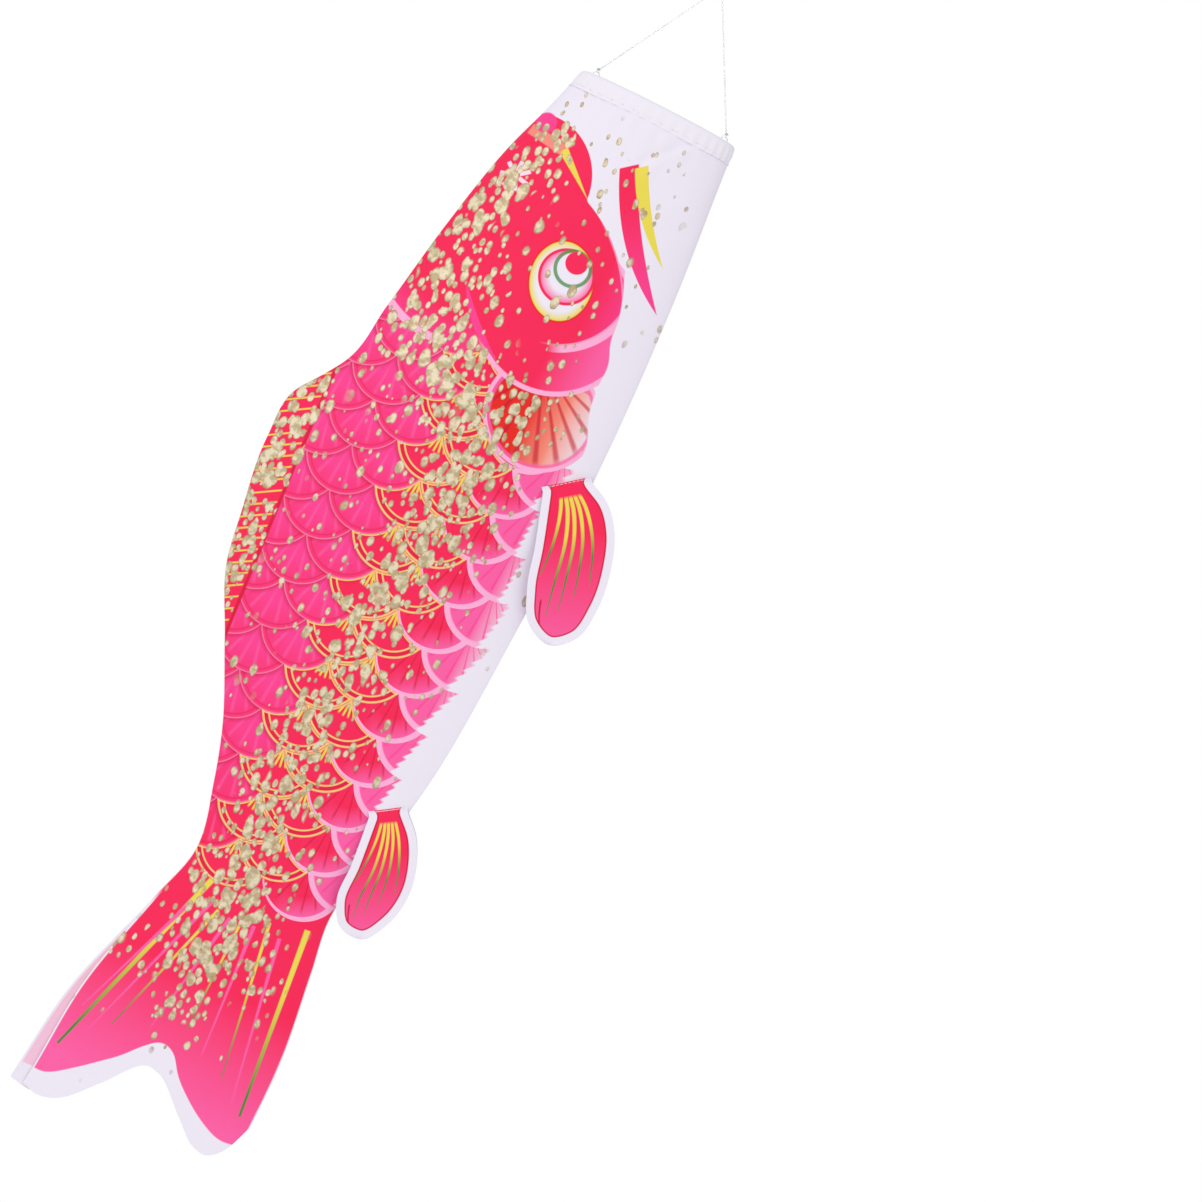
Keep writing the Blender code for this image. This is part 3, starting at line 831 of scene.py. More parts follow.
def paint_head(print_, paint):
    """Overlapping round plates of the head, from the nape forwards to the cheek."""
    r, s = print_.r, print_.s
    printed = print_.value("past_belly").below(0, 0.0008)
    nape, third, second = print_.away(120, -60), print_.away(197, 20), print_.away(140, 1)
    on_nape = nape.below(68, 0.4)
    on_second = second.below(49, 0.4) * printed
    fan = print_.spokes(r - 8, s - 170, 0.11)
    third_plate = print_.over(
        "orange",
        ("salmon", r.above(24, 22)),
        ("cloth", r.above(43, 22)),
        ("deep_red", fan.below(0.03, 0.03) * third.below(31, 6) * 0.75),
        ("pink", third.above(30.5, 1.0) * 0.8),
        ("pale_pink", third.above(32.6, 0.7)),
    )
    second_plate = print_.over(
        "red", ("pink", r.above(22, 30)), ("pale_pink", second.above(46, 0.7) * r.above(-30, 12))
    )

    ahead, side, long = print_.along(146.6, -56, 181, -18)
    arch = ahead * (long - ahead)
    gill = (arch * 0.0034 - abs(side + arch * 0.0052)).above(0, 0.5)

    brow = print_.away(115, -9)
    inset = print_.maths("MINIMUM", 45.3 - brow, 89.5 - print_.away(154, -47))
    gap = brow.between(45, 49.5, 0.6) * on_second * (r - s * 0.45).above(-62, 10)
    cheek = print_.over(
        "red",
        ("hot_pink", r.above(27, 20) * 0.8),
        ("pale_pink", inset.below(0.9, 0.5) * r.above(6, 14) * 0.7),
    )
    return print_.over(
        paint,
        ("red", on_nape),
        ("hot_pink", on_nape * nape.above(54, 16) * 0.7),
        ("pale_pink", on_nape * r.below(-56, 10) * nape.above(63.2, 0.8)),
        ("red", print_.away(73, -53).below(39.5, 0.4)),
        (third_plate, third.below(35, 0.4) * printed),
        (second_plate, on_second),
        ("hot_pink", gill),
        ("pale_pink", gap),
        (cheek, inset.above(0, 0.4) * printed),
    )


def paint_eye(print_, paint):
    """The eye: ellipse, rings and pupil, each nearer the brow than the last."""
    lean = math.atan2(0.31, -0.95)
    inputs = {
        "Vector": print_.place,
        "Location": (-5.2, 120.7, 0),
        "Rotation": (0, 0, math.atan2(-math.cos(lean), math.sin(lean))),
        "Scale": (25, 20, 1),
    }
    oval = print_.vector("LENGTH", print_.add("ShaderNodeMapping", {"vector_type": "TEXTURE"}, inputs))
    ring, green, pupil = print_.away(117, -3.6), print_.away(111, -2.4), print_.away(107, -1.8)
    return print_.over(
        paint,
        ("orange", oval.below(1.0, 0.03)),
        (print_.over("cloth", ("yellow", oval.above(0.84, 0.22))), oval.below(0.955, 0.03)),
        ("red", ring.below(17.2, 0.5)),
        (print_.over("cloth", ("pink", ring.above(12.2, 5) * 0.8)), ring.below(15.4, 0.5)),
        ("green", green.below(11.7, 0.6) * 0.85),
        ("cloth", green.below(9.5, 0.6)),
        ("red", pupil.below(6.9, 0.5)),
    )


def paint_barbels(print_, paint):
    """Two curved barbels in front of the cheek: half a parabola each, tapering to a point."""
    for s, r, bend, curl, wide, long, power, near, far in (
        (41, 0, -0.305, 0.00292, 6.0, 90, 3.0, "red", "hot_pink"),
        (38, 6.8, -0.247, 0.0037, 4.2, 62, 2.2, "yellow", "yellow"),
    ):
        ahead, side, _ = print_.along(s, r, s + 0.766, r + 0.643)
        off = side - ahead * (ahead * curl + bend)
        share = print_.maths("MAXIMUM", ahead / long, 0.0)
        width = (1 - print_.maths("POWER", share, power)) * wide
        mask = (width - abs(off)).above(0, 0.5) * ahead.between(0, long, 0.6)
        paint = print_.over(paint, (print_.over(near, (far, share.above(0.55, 0.6))), mask))
    return paint


def paint_nose(print_, paint):
    """The snout's yellow wedge between its pale band and the forehead, a pink patch, and the
    nostril's star."""
    ahead, side, long = print_.along(49.5, -40, 70.3, -13)
    wedge = (2.9 - ahead * (2.9 / long) - abs(side)).above(0, 0.5) * ahead.above(0, 1)
    ahead, side, long = print_.along(46, -64, 50, -40)
    band = abs(side).below(3.4, 0.8) * ahead.between(0, long, 1)
    nostril = print_.away(76, -59)
    spikes = print_.spokes(print_.r + 59, print_.s - 76, 0.449)
    return print_.over(
        paint,
        ("yellow", wedge),
        ("salmon", band * 0.9),
        ("hot_pink", print_.away(39, -57).below(6.5, 1.0)),
        (light_of(255, 222, 238), (spikes * nostril).below(1.3, 0.5) * nostril.between(2.8, 9.5, 0.8)),
        ("deep_red", nostril.below(2.4, 0.5)),
    )


def front_print(name):
    """Head, dorsal fin and the front scales."""
    print_ = Print(name)
    paint = "cloth"
    for coat in (paint_scales, paint_dorsal, paint_head, paint_nose, paint_eye, paint_barbels):
        paint = coat(print_, paint)
    return print_.finish_cloth(paint, print_.foil())


TAIL_RAYS = (  # start and end as (station, reach), width at the start and the end, colour
    (536, -30, 667, -69, 3.6, 1.4, "yellow"),
    (551, -18.5, 642, -45, 2.0, 0.5, "yellow"),
    (547, -3, 624, -3, 1.8, 0.5, "yellow"),
    (544, 12.5, 641, 29, 2.0, 0.5, "yellow"),
    (538, 35, 657, 49, 3.6, 1.4, "yellow"),
    (556, -36, 640, -66, 2.4, 0.6, "pink"),
    (548, -24, 650, -56, 2.4, 0.6, "pink"),
    (552, -10, 632, -23, 2.4, 0.6, "pink"),
    (550, 5, 634, 12, 2.4, 0.6, "pink"),
    (550, 22, 652, 41, 2.4, 0.6, "pink"),
)


def rear_print(name):
    """The rear scales and the tail, whose rays run from yellow to green."""
    print_ = Print(name)
    s = print_.s
    paint = print_.over("cloth", (print_.over("red", ("pink", s.above(632, 80))), s.above(519, 1.0)))
    for *line, tone in TAIL_RAYS:
        mask, share = print_.ray(*line)
        if tone == "yellow":
            tone = print_.over(tone, ("green", share.above(0.62, 0.55)))
        paint = print_.over(paint, (tone, mask))
    past_end = (print_.value("to_print_end") * MM).below(0, 0.8)
    beside = (print_.value("to_side") * MM).below(1.2, 0.6) * s.above(560, 10)
    margin = print_.maths("MAXIMUM", past_end, beside)
    return print_.finish_cloth(print_.over(paint_scales(print_, paint), ("cloth", margin)), print_.foil())


FIN_RAYS = (  # place across the root and at the end, and how far down it ends, all as shares
    (0.36, 0.14, 0.52), (0.43, 0.30, 0.76), (0.50, 0.46, 0.72), (0.57, 0.62, 0.64), (0.64, 0.78, 0.56),
)


def fin_print(name):
    """A fin: white margin, thin dark outline, pink to red fill and rays fanned from its root."""
    print_ = Print(name)
    to_rim = print_.value("to_rim") * MM
    down, across = print_.value("down_fin"), print_.value("across_fin")
    tone = print_.over("red", ("pink", down.above(0.62, 0.7)))
    for start, to, end in FIN_RAYS:
        off = across - start - down * ((to - start) / end)
        width = (end - down) * (0.030 / end) + 0.004
        ray = print_.over("yellow", ("green", down.above(end * 0.55, end * 0.35)))
        tone = print_.over(tone, (ray, (width - abs(off)).above(0, 0.012) * down.between(0.06, end, 0.02)))
    streak = (across - 0.20).between(-0.012, 0.012, 0.012) * down.between(0.66, 0.84, 0.02)
    tone = print_.over(tone, ("deep_red", streak))
    outline = to_rim.between(4.9, 5.8, 0.4) * 0.85
    return print_.finish_cloth(print_.over("cloth", (tone, to_rim.above(5.0, 0.5)), ("deep_red", outline)))


def white_cloth(name, weave=2600.0):
    """Plain white cloth: a fine crossed weave and soft mottling."""
    recipe = Recipe(name)
    place = recipe.object_place()
    x = recipe.add("ShaderNodeSeparateXYZ", (), {0: place})
    z = x.output(2)
    crossed = recipe.maths("SINE", (x + z) * weave) * recipe.maths("SINE", (z - x) * weave)
    mottle = recipe.noise(place, 60.0, 3.0)
    return recipe.finish(
        (crossed * 0.5 + mottle, 0.00006),
        Base_Color=recipe.over("cloth", ("thread", mottle)),
        Roughness=mottle * 0.1 + 0.5,
        Sheen_Weight=0.3,
        Specular_IOR_Level=0.35,
    )


def sewing_thread(name):
    """Twisted polyester thread."""
    recipe = Recipe(name)
    twist = recipe.noise(recipe.object_place(), 2500.0, 1.0)
    paint = recipe.over("cloth", ("thread", twist))
    return recipe.finish((twist, 0.00005), Base_Color=paint, Roughness=0.45, Sheen_Weight=0.2)


def clear_line(name):
    """Clear nylon: glassy, with faint lengthwise streaks."""
    recipe = Recipe(name)
    streak = recipe.noise(recipe.object_place(), 900.0, 2.0)
    return recipe.finish(
        (streak, 0.00002),
        Base_Color=recipe.over(light_of(232, 234, 240), (light_of(250, 251, 253), streak)),
        Roughness=streak * 0.12 + 0.08,
        Transmission_Weight=0.45,
        IOR=1.5,
        Coat_Weight=0.3,
    )


def metal(name, *stretch):
    """Drawn or crimped metal: fine scratches stretched along one direction."""
    recipe = Recipe(name)
    drawn = recipe.add("ShaderNodeMapping", (), {"Vector": recipe.object_place(), "Scale": stretch})
    grain = recipe.noise(drawn, 1.0, 3.0)
    paint = recipe.over("steel", (light_of(150, 152, 158), grain.above(0.6, 0.3)))
    return recipe.finish((grain, 0.00003), Base_Color=paint, Roughness=grain * 0.25 + 0.2, Metallic=1.0)


def pale_floor(name):
    """A matt floor with faint mottling."""
    recipe = Recipe(name)
    mottle = recipe.noise(recipe.object_place(), 9.0, 4.0)
    paint = recipe.over("floor", (light_of(240, 239, 242), mottle))
    return recipe.finish(Base_Color=paint, Roughness=mottle * 0.2 + 0.55)


def shared(name, maker, *values):
    """The material of that name, made when it is first asked for."""
    return bpy.data.materials.get(name) or maker(name, *values)


# ------------------------------------------------------------------------------------- pieces


def bend_with(piece, joint, reach):
    """Bakes the piece's place into its mesh. It reads the joint's place and the reach, but nothing turns the
    cloth about them.
    """
    x, y, z = JOINTS[joint]["pos_m"]
    z + reach
    z - reach
    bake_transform(piece)


def foil_share(x, station):
    """How thickly the foil is splattered: a soft band down the side, the dorsal fin, a patch
    behind the gills and a little everywhere else on the print."""
    s, r = station * MM, x * MM
    table = np.array(FOIL_BAND, float)
    middle, half = smooth_line(table[:, :2], s), smooth_line(table[:, ::2], s)
    band = np.exp(-(((r - middle) / half) ** 2) * 1.1)
    dorsal = 0.75 * fade(-r, 92, 104) * fade(s, 215, 240) * (1 - fade(s, 380, 420))
    patch = 0.6 * bell(s, 203, 16) * bell(r, 12, 18)
    collar = 0.35 * bell(s, 200, 45) * bell(r, -60, 30)
    sparse = 0.17 * (1 - fade(r, 22, 46)) + 0.04
    share = np.clip(0.9 * band + dorsal + patch + collar + sparse, 0, 1)
    print_end = 0.92 * cut().length
    ends = fade(station, 0.012, 0.05) * 0.85 + 0.1
    return share * ends * (1 - 0.94 * fade(station, print_end - 0.05, print_end + 0.005))


# Places across the cloth from back to belly, closer together at the edges: sines of even turns
ACROSS = np.sin(np.linspace(-math.pi / 2, math.pi / 2, 97))


def skin(name, side, start, end, rows, material, replaced):
    """One side's cloth between two stations or lines of them, in a grid that runs down the fish
    and across it. On the near side the tail's back edge is drawn in, so that the far layer shows
    past it."""
    start, end = (np.broadcast_to(line, ACROSS.shape) for line in (start, end))
    station = start + (end - start) * np.linspace(0, 1, rows)[:, None]
    across = np.broadcast_to(ACROSS, station.shape)
    half, middle = edges(station)
    plain = x = middle + (half + WALL - cut().sunk) * across
    if side < 0:
        x = x + fanned(station) * np.clip(-across, 0, 1) ** 1.5
    surface = np.stack([x, side * skin_reach(station, across), height(station)], -1)
    facts = {
        "foil": foil_share(x, station),
        "far_side": np.full(x.shape, float(side > 0)),
        "to_print_end": cut().length * smooth_line(PRINT_END, across) - station,
        "to_side": np.where(across < 0, 1 + across, 1) * half,
        "past_belly": x - smooth_line(BELLY_PRINT, station * MM) / MM,
    }
    uv = np.stack([x + MAP_SHIFT, station], -1)
    piece = cloth_piece(name, surface, (0, side, 0), material, uv, facts)
    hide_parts(*replaced)
    # Laid flat, each line across is as long as the smooth arc that it makes round the body.
    arc = np.hypot(np.diff(plain, axis=1), np.diff(lens(station, across)[0], axis=1))
    arc = np.concatenate([np.zeros((len(arc), 1)), np.cumsum(arc, axis=1)], axis=1)
    flat = float(arc[:, -1].max()), float(end.max() - start.min())
    return piece


class STREAMER_OT_stage(bpy.types.Operator):
    """Sets up the camera, the lights, the white surroundings and the floor"""

    bl_idname = "streamer.stage"
    bl_label = "Stage"

    def execute(self, context):
        scene = context.scene
        scene.view_settings.view_transform = "Standard"
        camera = bpy.data.objects.new("camera", bpy.data.cameras.new("camera"))
        camera.data.lens, camera.data.sensor_width = LENS, SENSOR
        camera.location = CAMERA_AT
        camera.rotation_euler = (math.pi / 2, -CAMERA_ROLL, 0)
        scene.collection.objects.link(camera)
        scene.camera = camera

        middle = (CAD_BOX[0][2] + CAD_BOX[1][2]) / 2
        for name, (x, y, z), wide, power in LIGHTS:
            lamp = bpy.data.lights.new(name, "AREA")
            lamp.shape, lamp.size, lamp.energy = "DISK", wide, power
            made = bpy.data.objects.new(name, lamp)
            made.location = (x, y, middle + z)
            made.rotation_euler = (math.atan2(math.hypot(x, y), z), 0, math.atan2(x, -y))
            scene.collection.objects.link(made)

        scene.world = scene.world or bpy.data.worlds.new("surroundings")
        scene.world.use_nodes = True
        nodes, links = scene.world.node_tree.nodes, scene.world.node_tree.links
        nodes.clear()
        both = nodes.new("ShaderNodeMixShader")
        links.new(nodes.new("ShaderNodeLightPath").outputs["Is Camera Ray"], both.inputs[0])
        for socket, strength in ((1, WHITE_CAST), (2, WHITE_SEEN)):
            white = nodes.new("ShaderNodeBackground")
            white.inputs["Color"].default_value = (1, 1, 1, 1)
            white.inputs["Strength"].default_value = strength
            links.new(white.outputs[0], both.inputs[socket])
        links.new(both.outputs[0], nodes.new("ShaderNodeOutputWorld").inputs["Surface"])

        disc = bmesh.new()
        bmesh.ops.create_cone(
            disc, cap_ends=True, segments=128, radius1=FLOOR_RADIUS, radius2=FLOOR_RADIUS,
            depth=FLOOR_THICK, matrix=Matrix.Translation((0, 0, FLOOR_AT - FLOOR_THICK / 2)),
        )
        edge = [e for e in disc.edges if abs(e.verts[0].co.z - e.verts[1].co.z) < 1e-6]
        bmesh.ops.bevel(disc, geom=edge, offset=FLOOR_EDGE, segments=3, affect="EDGES")
        mesh = bpy.data.meshes.new("floor")
        disc.to_mesh(mesh)
        disc.free()
        mesh.shade_smooth()
        mesh.set_sharp_from_angle(angle=math.radians(30))
        make_object("floor", mesh, shared("pale_floor", pale_floor))
        return {"FINISHED"}


RIM_KNOT_LIFT, RIM_KNOT_FLAT = 0.00012, 0.80  # the rim's loop leans under it as the head swings
LOOP_FEET = 0.0022  # how far a rim loop's ends run down into the hem
LOOP_TWISTS = 9


class STREAMER_OT_bridle(bpy.types.Operator):
    """Ties the bridle: two clear lines, their knots, the loops on the rim and the hanging loop"""

    bl_idname = "streamer.bridle"
    bl_label = "Bridle"

    def execute(self, context):
        nylon = shared("clear_line", clear_line)
        radius = cut().thread

        def knot(name, node, on_rim):
            """A pulled-tight overhand knot: the middle of a trefoil, squeezed into the node's box."""
            low, high = (np.array(corner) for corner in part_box(node))
            centre, reach = (low + high) / 2, (high - low) / 2 - radius
            if on_rim:
                centre[2] += RIM_KNOT_LIFT
                reach[2] *= RIM_KNOT_FLAT
            turn = np.linspace(0.25, TURN - 0.25, 90)
            out = 2 + np.cos(3 * turn)
            trefoil = [out * np.cos(2 * turn) / 3, np.sin(3 * turn) * 0.5, out * np.sin(2 * turn) / 3]
            piece = threads(name, [centre + np.stack(trefoil, -1) * reach], radius * 0.9, nylon)
            return settle(piece, "bridle", "clear_thread", node)

        top = knot("apex_overhand", "apex_knot", False)
        for word, way in (("back", -1), ("belly", 1)):
            low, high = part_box(f"bridle_line_{word}")
            side = (low.x, high.x)[::way]
            near = np.array([side[0] + way * radius, 0, high.z])
            far = np.array([side[1] - way * radius, 0, low.z])
            foot = knot(f"{word}_overhand", f"{word}_line_knot", True)
            path = far + (near - far) * np.linspace(0, 1, 18)[:, None]
            line = threads(f"{word}_line", [path], radius, nylon)
            settle(line, "bridle", "clear_thread", f"bridle_line_{word}")

            low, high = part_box(f"{word}_tie_loop")
            centre = np.array([(low.x + high.x) / 2, 0, low.z + radius])
            out, up = ((high.x - low.x) / 2 - radius) * circle(25, math.pi, True).T
            arc = centre + np.stack([out, 0 * out, up], -1)
            feet = np.array([0, 0, -LOOP_FEET]) * np.array([[1], [0.5]])
            path = np.concatenate([arc[0] + feet, arc, arc[-1] + feet[::-1]])
            loop = threads(f"{word}_loop", [path], radius, nylon)
            settle(loop, "head", "clear_thread", f"{word}_tie_loop")

        low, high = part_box("hang_loop")
        thick = (high.y - low.y) / 2
        turn = np.linspace(0, TURN, 120)
        strands = []
        for start in (0, math.pi):
            twist = LOOP_TWISTS * turn + start
            out = (high.x - low.x) / 2 - thick + thick * 0.5 * np.cos(twist)
            up = (low.z + high.z) / 2 - out * np.cos(turn)
            strands.append(np.stack([out * np.sin(turn), thick * 0.5 * np.sin(twist), up], -1))
        loop = threads("hanging_loop", strands, thick * 0.5, nylon, 10)
        settle(loop, "bridle", "clear_thread", "hang_loop")
        return {"FINISHED"}


class STREAMER_OT_body(bpy.types.Operator):
    """Cuts and prints the body's two sides, each a front and a rear piece of cloth"""

    bl_idname = "streamer.body"
    bl_label = "Body"

    def execute(self, context):
        lines = cut().hem_width - 0.001, cut().piece_line, cut().length * smooth_line(TAIL_END, ACROSS)
        for word, side in SIDES:
            for part, start, end, rows, printed, bend, slot, nodes in (
                ("front", *lines[:2], 250, front_print, "body_bend", "printed", ["panel_front"]),
                ("rear", *lines[1:], 150, rear_print, "tail_bend", "tail", ["panel_rear", "tail_panel"]),
            ):
                piece = skin(
                    f"{word}_{part}_cloth", side, start, end, rows, shared(f"{part}_print", printed),
                    [f"{word}_{node}" for node in nodes],
                )
                bend_with(piece, bend, getattr(cut(), bend))
        return {"FINISHED"}


def mouth_ring(station, offset, count):
    """The ellipse through the middle of the hem's fold at a station, moved out along its normal.
    station and offset may differ at each point of the ring."""
    half, middle = edges(station)
    a = half + WALL - FOLD
    b = measured(HALF_DEPTH, "depth", station) - FOLD
    out, up = circle(count).T
    normal = np.stack([b * out, a * up], -1)
    normal /= np.linalg.norm(normal, axis=-1, keepdims=True)
    x, y = middle + a * out + offset * normal[:, 0], b * up + offset * normal[:, 1]
    return np.stack([x, y, height(station) + 0 * x], -1), normal


HEM_POINTS = 320  # round the mouth
HEM_STITCHED = 0.0022  # from the hem's edge up to its stitches
HEM_PROUD = 0.0001
HEM_CLOTH = 1.4  # of the printed cloth's thickness
WIRE = 0.0008
CRIMPS = 0.3, 0.7  # along the sleeve
BORE = 0.66  # of the sleeve's radius


class STREAMER_OT_hem(bpy.types.Operator):
    """Folds the mouth's hem over its wire hoop and sews it down"""

    bl_idname = "streamer.hem"
    bl_label = "Hem and hoop"

    def execute(self, context):
        turn = np.linspace(0, TURN, HEM_POINTS, endpoint=False)
        wide, outer = cut().hem_width, FOLD + HEM_PROUD
        sewn = wide - HEM_STITCHED
        fold = np.linspace(0, math.pi, 15)[1:-1]
        walls = np.linspace(wide, outer, 12)
        stations = np.concatenate([walls, outer - outer * np.sin(fold), walls[::-1]])
        offsets = np.concatenate([0 * walls + outer, outer * np.cos(fold), 0 * walls - outer])

        def wall(inset):
            """The folded cloth, moved in by an inset: its walls are pulled together at the
            stitches and puff out a little between them, as slow and quick sines round the ring."""
            rows = []
            for station, offset in zip(stations, offsets):
                side = np.sign(offset) if abs(offset) > 1e-9 else 1
                pulled = bell(station, sewn, 0.0016)
                puff = 0.00022 * np.sin(37 * turn + side) * fade(station, 0.001, 0.006)
                depth = abs(offset) - inset * abs(offset) / outer - 0.0006 * pulled
                down = station + inset * (1 - abs(offset) / outer)
                sway = 0.0003 * np.sin(5 * turn + 0.5) * fade(station, 0.006, wide)
                rows.append(mouth_ring(down + sway, side * (depth + puff * (side > 0)), HEM_POINTS)[0])
            return np.array(rows)

        rings = np.concatenate([wall(0.0), wall(cut().cloth * HEM_CLOTH)[::-1]])
        hem = shell_piece("hem", rings, shared("hem_cloth", white_cloth), 70)
        settle(hem, "head", "hem_cloth", "mouth_hem")
        rim = np.diff(mouth_ring(0.0, 0.0, HEM_POINTS)[0], axis=0)
        round_mouth = float(np.linalg.norm(rim, axis=1).sum())

        # Each stitch takes 8 points of its ring: 5 on top, and the rest under the cloth.
        ring, normal = mouth_ring(sewn, outer - 0.0005, 8 * round(round_mouth / cut().stitch))
        lifts = np.concatenate([normal, np.zeros((len(normal), 1))], 1)[2::8]
        settle(stitches("hem_stitches", ring[::8], ring[5::8], lifts, 0.00022), "head", "hem_cloth")

        low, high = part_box("hoop_sleeve")
        path = np.roll(mouth_ring(FOLD, 0.0, 240)[0], -61, axis=0)
        bare = (np.abs(path[:, 0] - (low.x + high.x) / 2) > (high.x - low.x) / 2) | (path[:, 1] < 0)
        steel = shared("drawn_steel", metal, 400, 400, 6000)
        settle(threads("hoop", [path[bare]], WIRE, steel, 14), "head", "hoop_wire", "mouth_hoop")

        path = path[~bare]
        path = path[np.argsort(path[:, 0])]
        share = np.linspace(0, 1, 40)
        path = np.stack([np.interp(share, np.linspace(0, 1, len(path)), line) for line in path.T], -1)
        squeeze = SLEEVE * (1 - sum(0.16 * bell(share, crimp, 0.07) for crimp in CRIMPS))
        spokes = (swept(path, circle(20)) - path[:, None]) * squeeze[:, None, None]
        rings = np.concatenate([path[:, None] + spokes, (path[:, None] + spokes * BORE)[::-1]])
        sleeve = shell_piece("crimp_sleeve", rings, shared("crimped_tube", metal, 900, 900, 900), 40)
        settle(sleeve, "head", "sleeve_metal", "hoop_sleeve")
        return {"FINISHED"}


SEAM_WEAVE = 1500.0
SEAM_CLOTH = 0.00036
SEAM_IN = 0.0014, 0.0055  # how far inside the cloth's edge an allowance lies


class STREAMER_OT_seams(bpy.types.Operator):
    """Turns the seam allowances in along the back and the belly"""

    bl_idname = "streamer.seams"
    bl_label = "Seams"

    def execute(self, context):
        material = shared("seam_cloth", white_cloth, SEAM_WEAVE)
        for word, way in (("back", -1), ("belly", 1)):
            end = float(cut().length * smooth_line(TAIL_END, way)) - 0.002
            for part, start, stop, joint, nodes in (
                ("front", cut().hem_width + 0.0005, cut().piece_line, "body_bend", ["front"]),
                ("rear", cut().piece_line, end, "tail_bend", ["rear", "tail"]),
            ):
                station = np.linspace(start, stop, round((stop - start) / 0.002))[:, None]
                half, middle = edges(station)
                inward = np.linspace(*SEAM_IN, 5)[None, :]
                x = middle + way * (half - inward)
                if word == "back":
                    x = x + fanned(station)
                y = 0.00018 + 0.0002 * np.sin(TURN * station / 0.004) * fade(inward, 0.003, SEAM_IN[1])
                surface = np.stack([x, y + 0 * x, height(station) + 0 * x], -1)
                uv = np.stack([x + MAP_SHIFT, station + 0 * x], -1)
                piece = cloth_piece(
                    f"{word}_{part}_allowance", surface, (0, 1, 0), material, uv, thick=SEAM_CLOTH
                )
                settle(piece, None, "seam_cloth", *[f"{word}_seam_{node}" for node in nodes])
                bend_with(piece, joint, getattr(cut(), joint))
        return {"FINISHED"}


FIN_FOOT = 0.0034  # how far a fin's foot runs past its root
FIN_TURNS = 0.0012, 0.0060  # before and after its root
FIN_STITCH = 0.0016
FIN_STITCHES_IN = 0.0026


def fin_surface(kind, side):
    """A fin as rungs between its two long edges, which run from the root's ends to the tip along
    a smooth outline, with a foot that leaves the root and comes down on the cloth."""
    shape = FIN_CUTS[kind]
    base = shape["at"] * cut().length
    half, middle = edges(base)
    outline = np.array(shape["outline"]) + [float(middle + half), base]
    inner, outer = outline[0], outline[1]
    along = (outer - inner) / np.linalg.norm(outer - inner)
    across = np.array([-along[1], along[0]])
    path = np.concatenate([outline[1:], outline[:1]])
    place = np.concatenate([[0], np.cumsum(np.linalg.norm(np.diff(path, axis=0), axis=1))])
    tip = place[shape["tip"] - 1]

    def rim(at):
        """The point that far along the outline."""
        return np.stack([smooth_line(np.stack([place, path[:, k]], -1), at) for k in (0, 1)], -1)

    down = 1 - (1 - np.linspace(0, 0.985, 72)) ** 1.7
    share = np.linspace(0, 1, 41)[None, :, None]
    long_outer = rim(tip * down)[:, None]
    long_inner = rim(place[-1] - (place[-1] - tip) * down)[:, None]
    blade = long_inner * (1 - share) + long_outer * share
    foot_steps = np.linspace(1, 0, 9)[:-1]
    root = (inner + (outer - inner) * share[0])[None]
    flat = np.concatenate([root - across * (FIN_FOOT * foot_steps)[:, None, None], blade])
    x, station = flat[..., 0], flat[..., 1]

    clear = outside_of_frame(*inner) + 2 * FRAME_GAP + 0.0004
    plane = clear - (x - inner[0]) * math.tan(FIN_YAW)
    from_root = np.concatenate([0 * foot_steps, down])[:, None]
    sideways = share[..., 0]
    curl = 0.0014 * np.sin(3.4 * from_root + 2.5 * sideways) * fade(from_root, 0.05, 0.6)
    curl += 0.0005 * np.sin(14 * from_root - 5 * sideways) * fade(from_root, 0.1, 0.7)
    sits = outside_at(x, station) + cut().cloth + 0.0001
    lift = np.concatenate([1 - foot_steps, np.ones(len(blade))])[:, None]
    y = sits + (np.maximum(plane + curl, sits) - sits) * fade(lift, 0.15, 1.0)
    surface = np.stack([x, side * y, height(station)], -1)

    samples = rim(np.linspace(0, place[-1], 160))
    facts = {
        "to_rim": np.linalg.norm(flat[:, :, None] - samples[None, None], axis=-1).min(axis=-1),
        "down_fin": from_root + 0 * sideways,
        "across_fin": sideways + 0 * from_root,
    }
    return surface, flat, facts, across, inner, outer


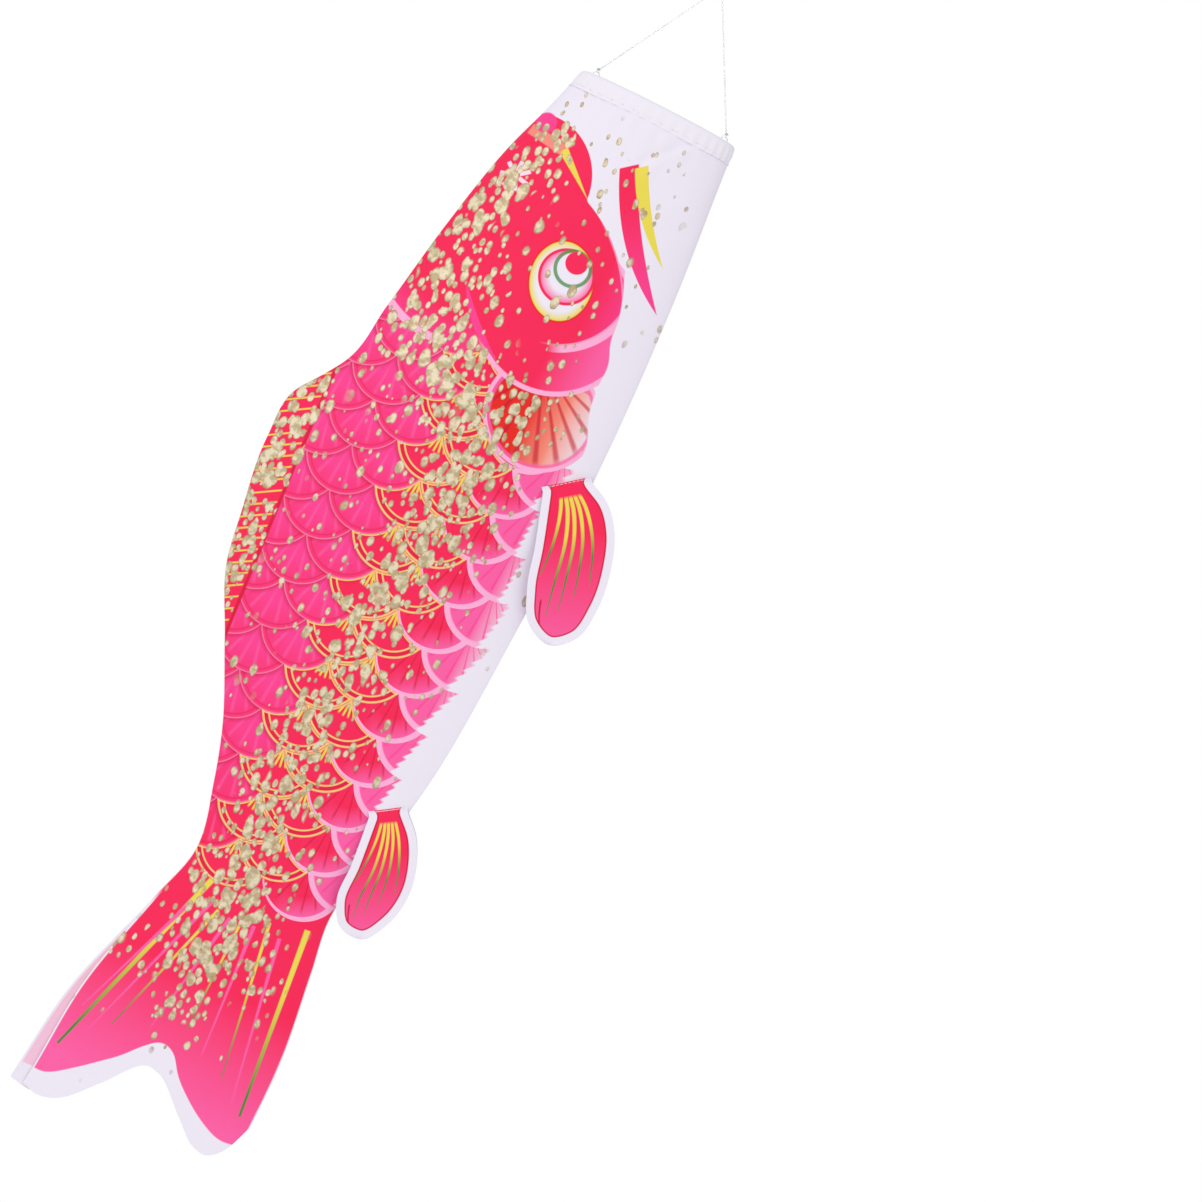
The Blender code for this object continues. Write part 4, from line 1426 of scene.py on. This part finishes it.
class STREAMER_OT_fins(bpy.types.Operator):
    """Cuts the two pairs of fins and sews them to the body by their roots"""

    bl_idname = "streamer.fins"
    bl_label = "Fins"

    def execute(self, context):
        for kind, shape in FIN_CUTS.items():
            for word, side in SIDES:
                fin, body = f"{word}_{kind}", shape["body"]
                surface, flat, facts, across, inner, outer = fin_surface(kind, side)
                material = shared(f"{kind}_print", fin_print)
                piece = cloth_piece(fin, surface, (0, side, 0), material, flat + [MAP_SHIFT, 0], facts)
                settle(piece, None, "fin_cloth", f"{fin}_fin", f"{fin}_root")
                start, end = ((inner + outer) / 2 + across * reach for reach in (-FIN_TURNS[0], FIN_TURNS[1]))
                height(start[1])
                height(end[1])
                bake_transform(piece)

                at = inner + (outer - inner) * np.linspace(0.06, 0.90, 11)[:, None] - across * FIN_STITCHES_IN
                step = (outer - inner) / np.linalg.norm(outer - inner) * FIN_STITCH
                ends = []
                for x, station in ((at - step / 2).T, (at + step / 2).T):
                    out = outside_at(x, station) + cut().cloth + 0.0003
                    ends.append(np.stack([x, side * out, height(station)], -1))
                lifts = np.tile([0.0, side, 0.0], (len(at), 1))
                settle(stitches(f"{fin}_stitches", *ends, lifts, 0.0002), body, "seam_cloth")
        return {"FINISHED"}


class STREAMER_PT_panel(bpy.types.Panel):
    """Lists the streamer's pieces and sizes in the sidebar"""

    bl_label = "Carp streamer"
    bl_idname = "STREAMER_PT_panel"
    bl_space_type = "VIEW_3D"
    bl_region_type = "UI"
    bl_category = "Streamer"

    def draw(self, context):
        for operator in OPERATORS:
            self.layout.operator(operator.bl_idname)
        for group in (context.scene.streamer_cut, context.scene.streamer_dyes):
            box = self.layout.box()
            for name in group.__annotations__:
                box.prop(group, name)


OPERATORS = (
    STREAMER_OT_stage,
    STREAMER_OT_bridle,
    STREAMER_OT_seams,
    STREAMER_OT_body,
    STREAMER_OT_hem,
    STREAMER_OT_fins,
)
CLASSES = (StreamerCut, StreamerDyes, *OPERATORS, STREAMER_PT_panel)


def register():
    for made in CLASSES:
        bpy.utils.register_class(made)
    bpy.types.Scene.streamer_cut = bpy.props.PointerProperty(type=StreamerCut)
    bpy.types.Scene.streamer_dyes = bpy.props.PointerProperty(type=StreamerDyes)


def unregister():
    del bpy.types.Scene.streamer_cut
    del bpy.types.Scene.streamer_dyes
    for made in reversed(CLASSES):
        bpy.utils.unregister_class(made)


def main():
    register()
    bpy.ops.streamer.stage()
    bpy.ops.streamer.bridle()
    bpy.ops.streamer.seams()
    bpy.ops.streamer.body()
    bpy.ops.streamer.hem()
    bpy.ops.streamer.fins()


if __name__ == "__main__":
    main()
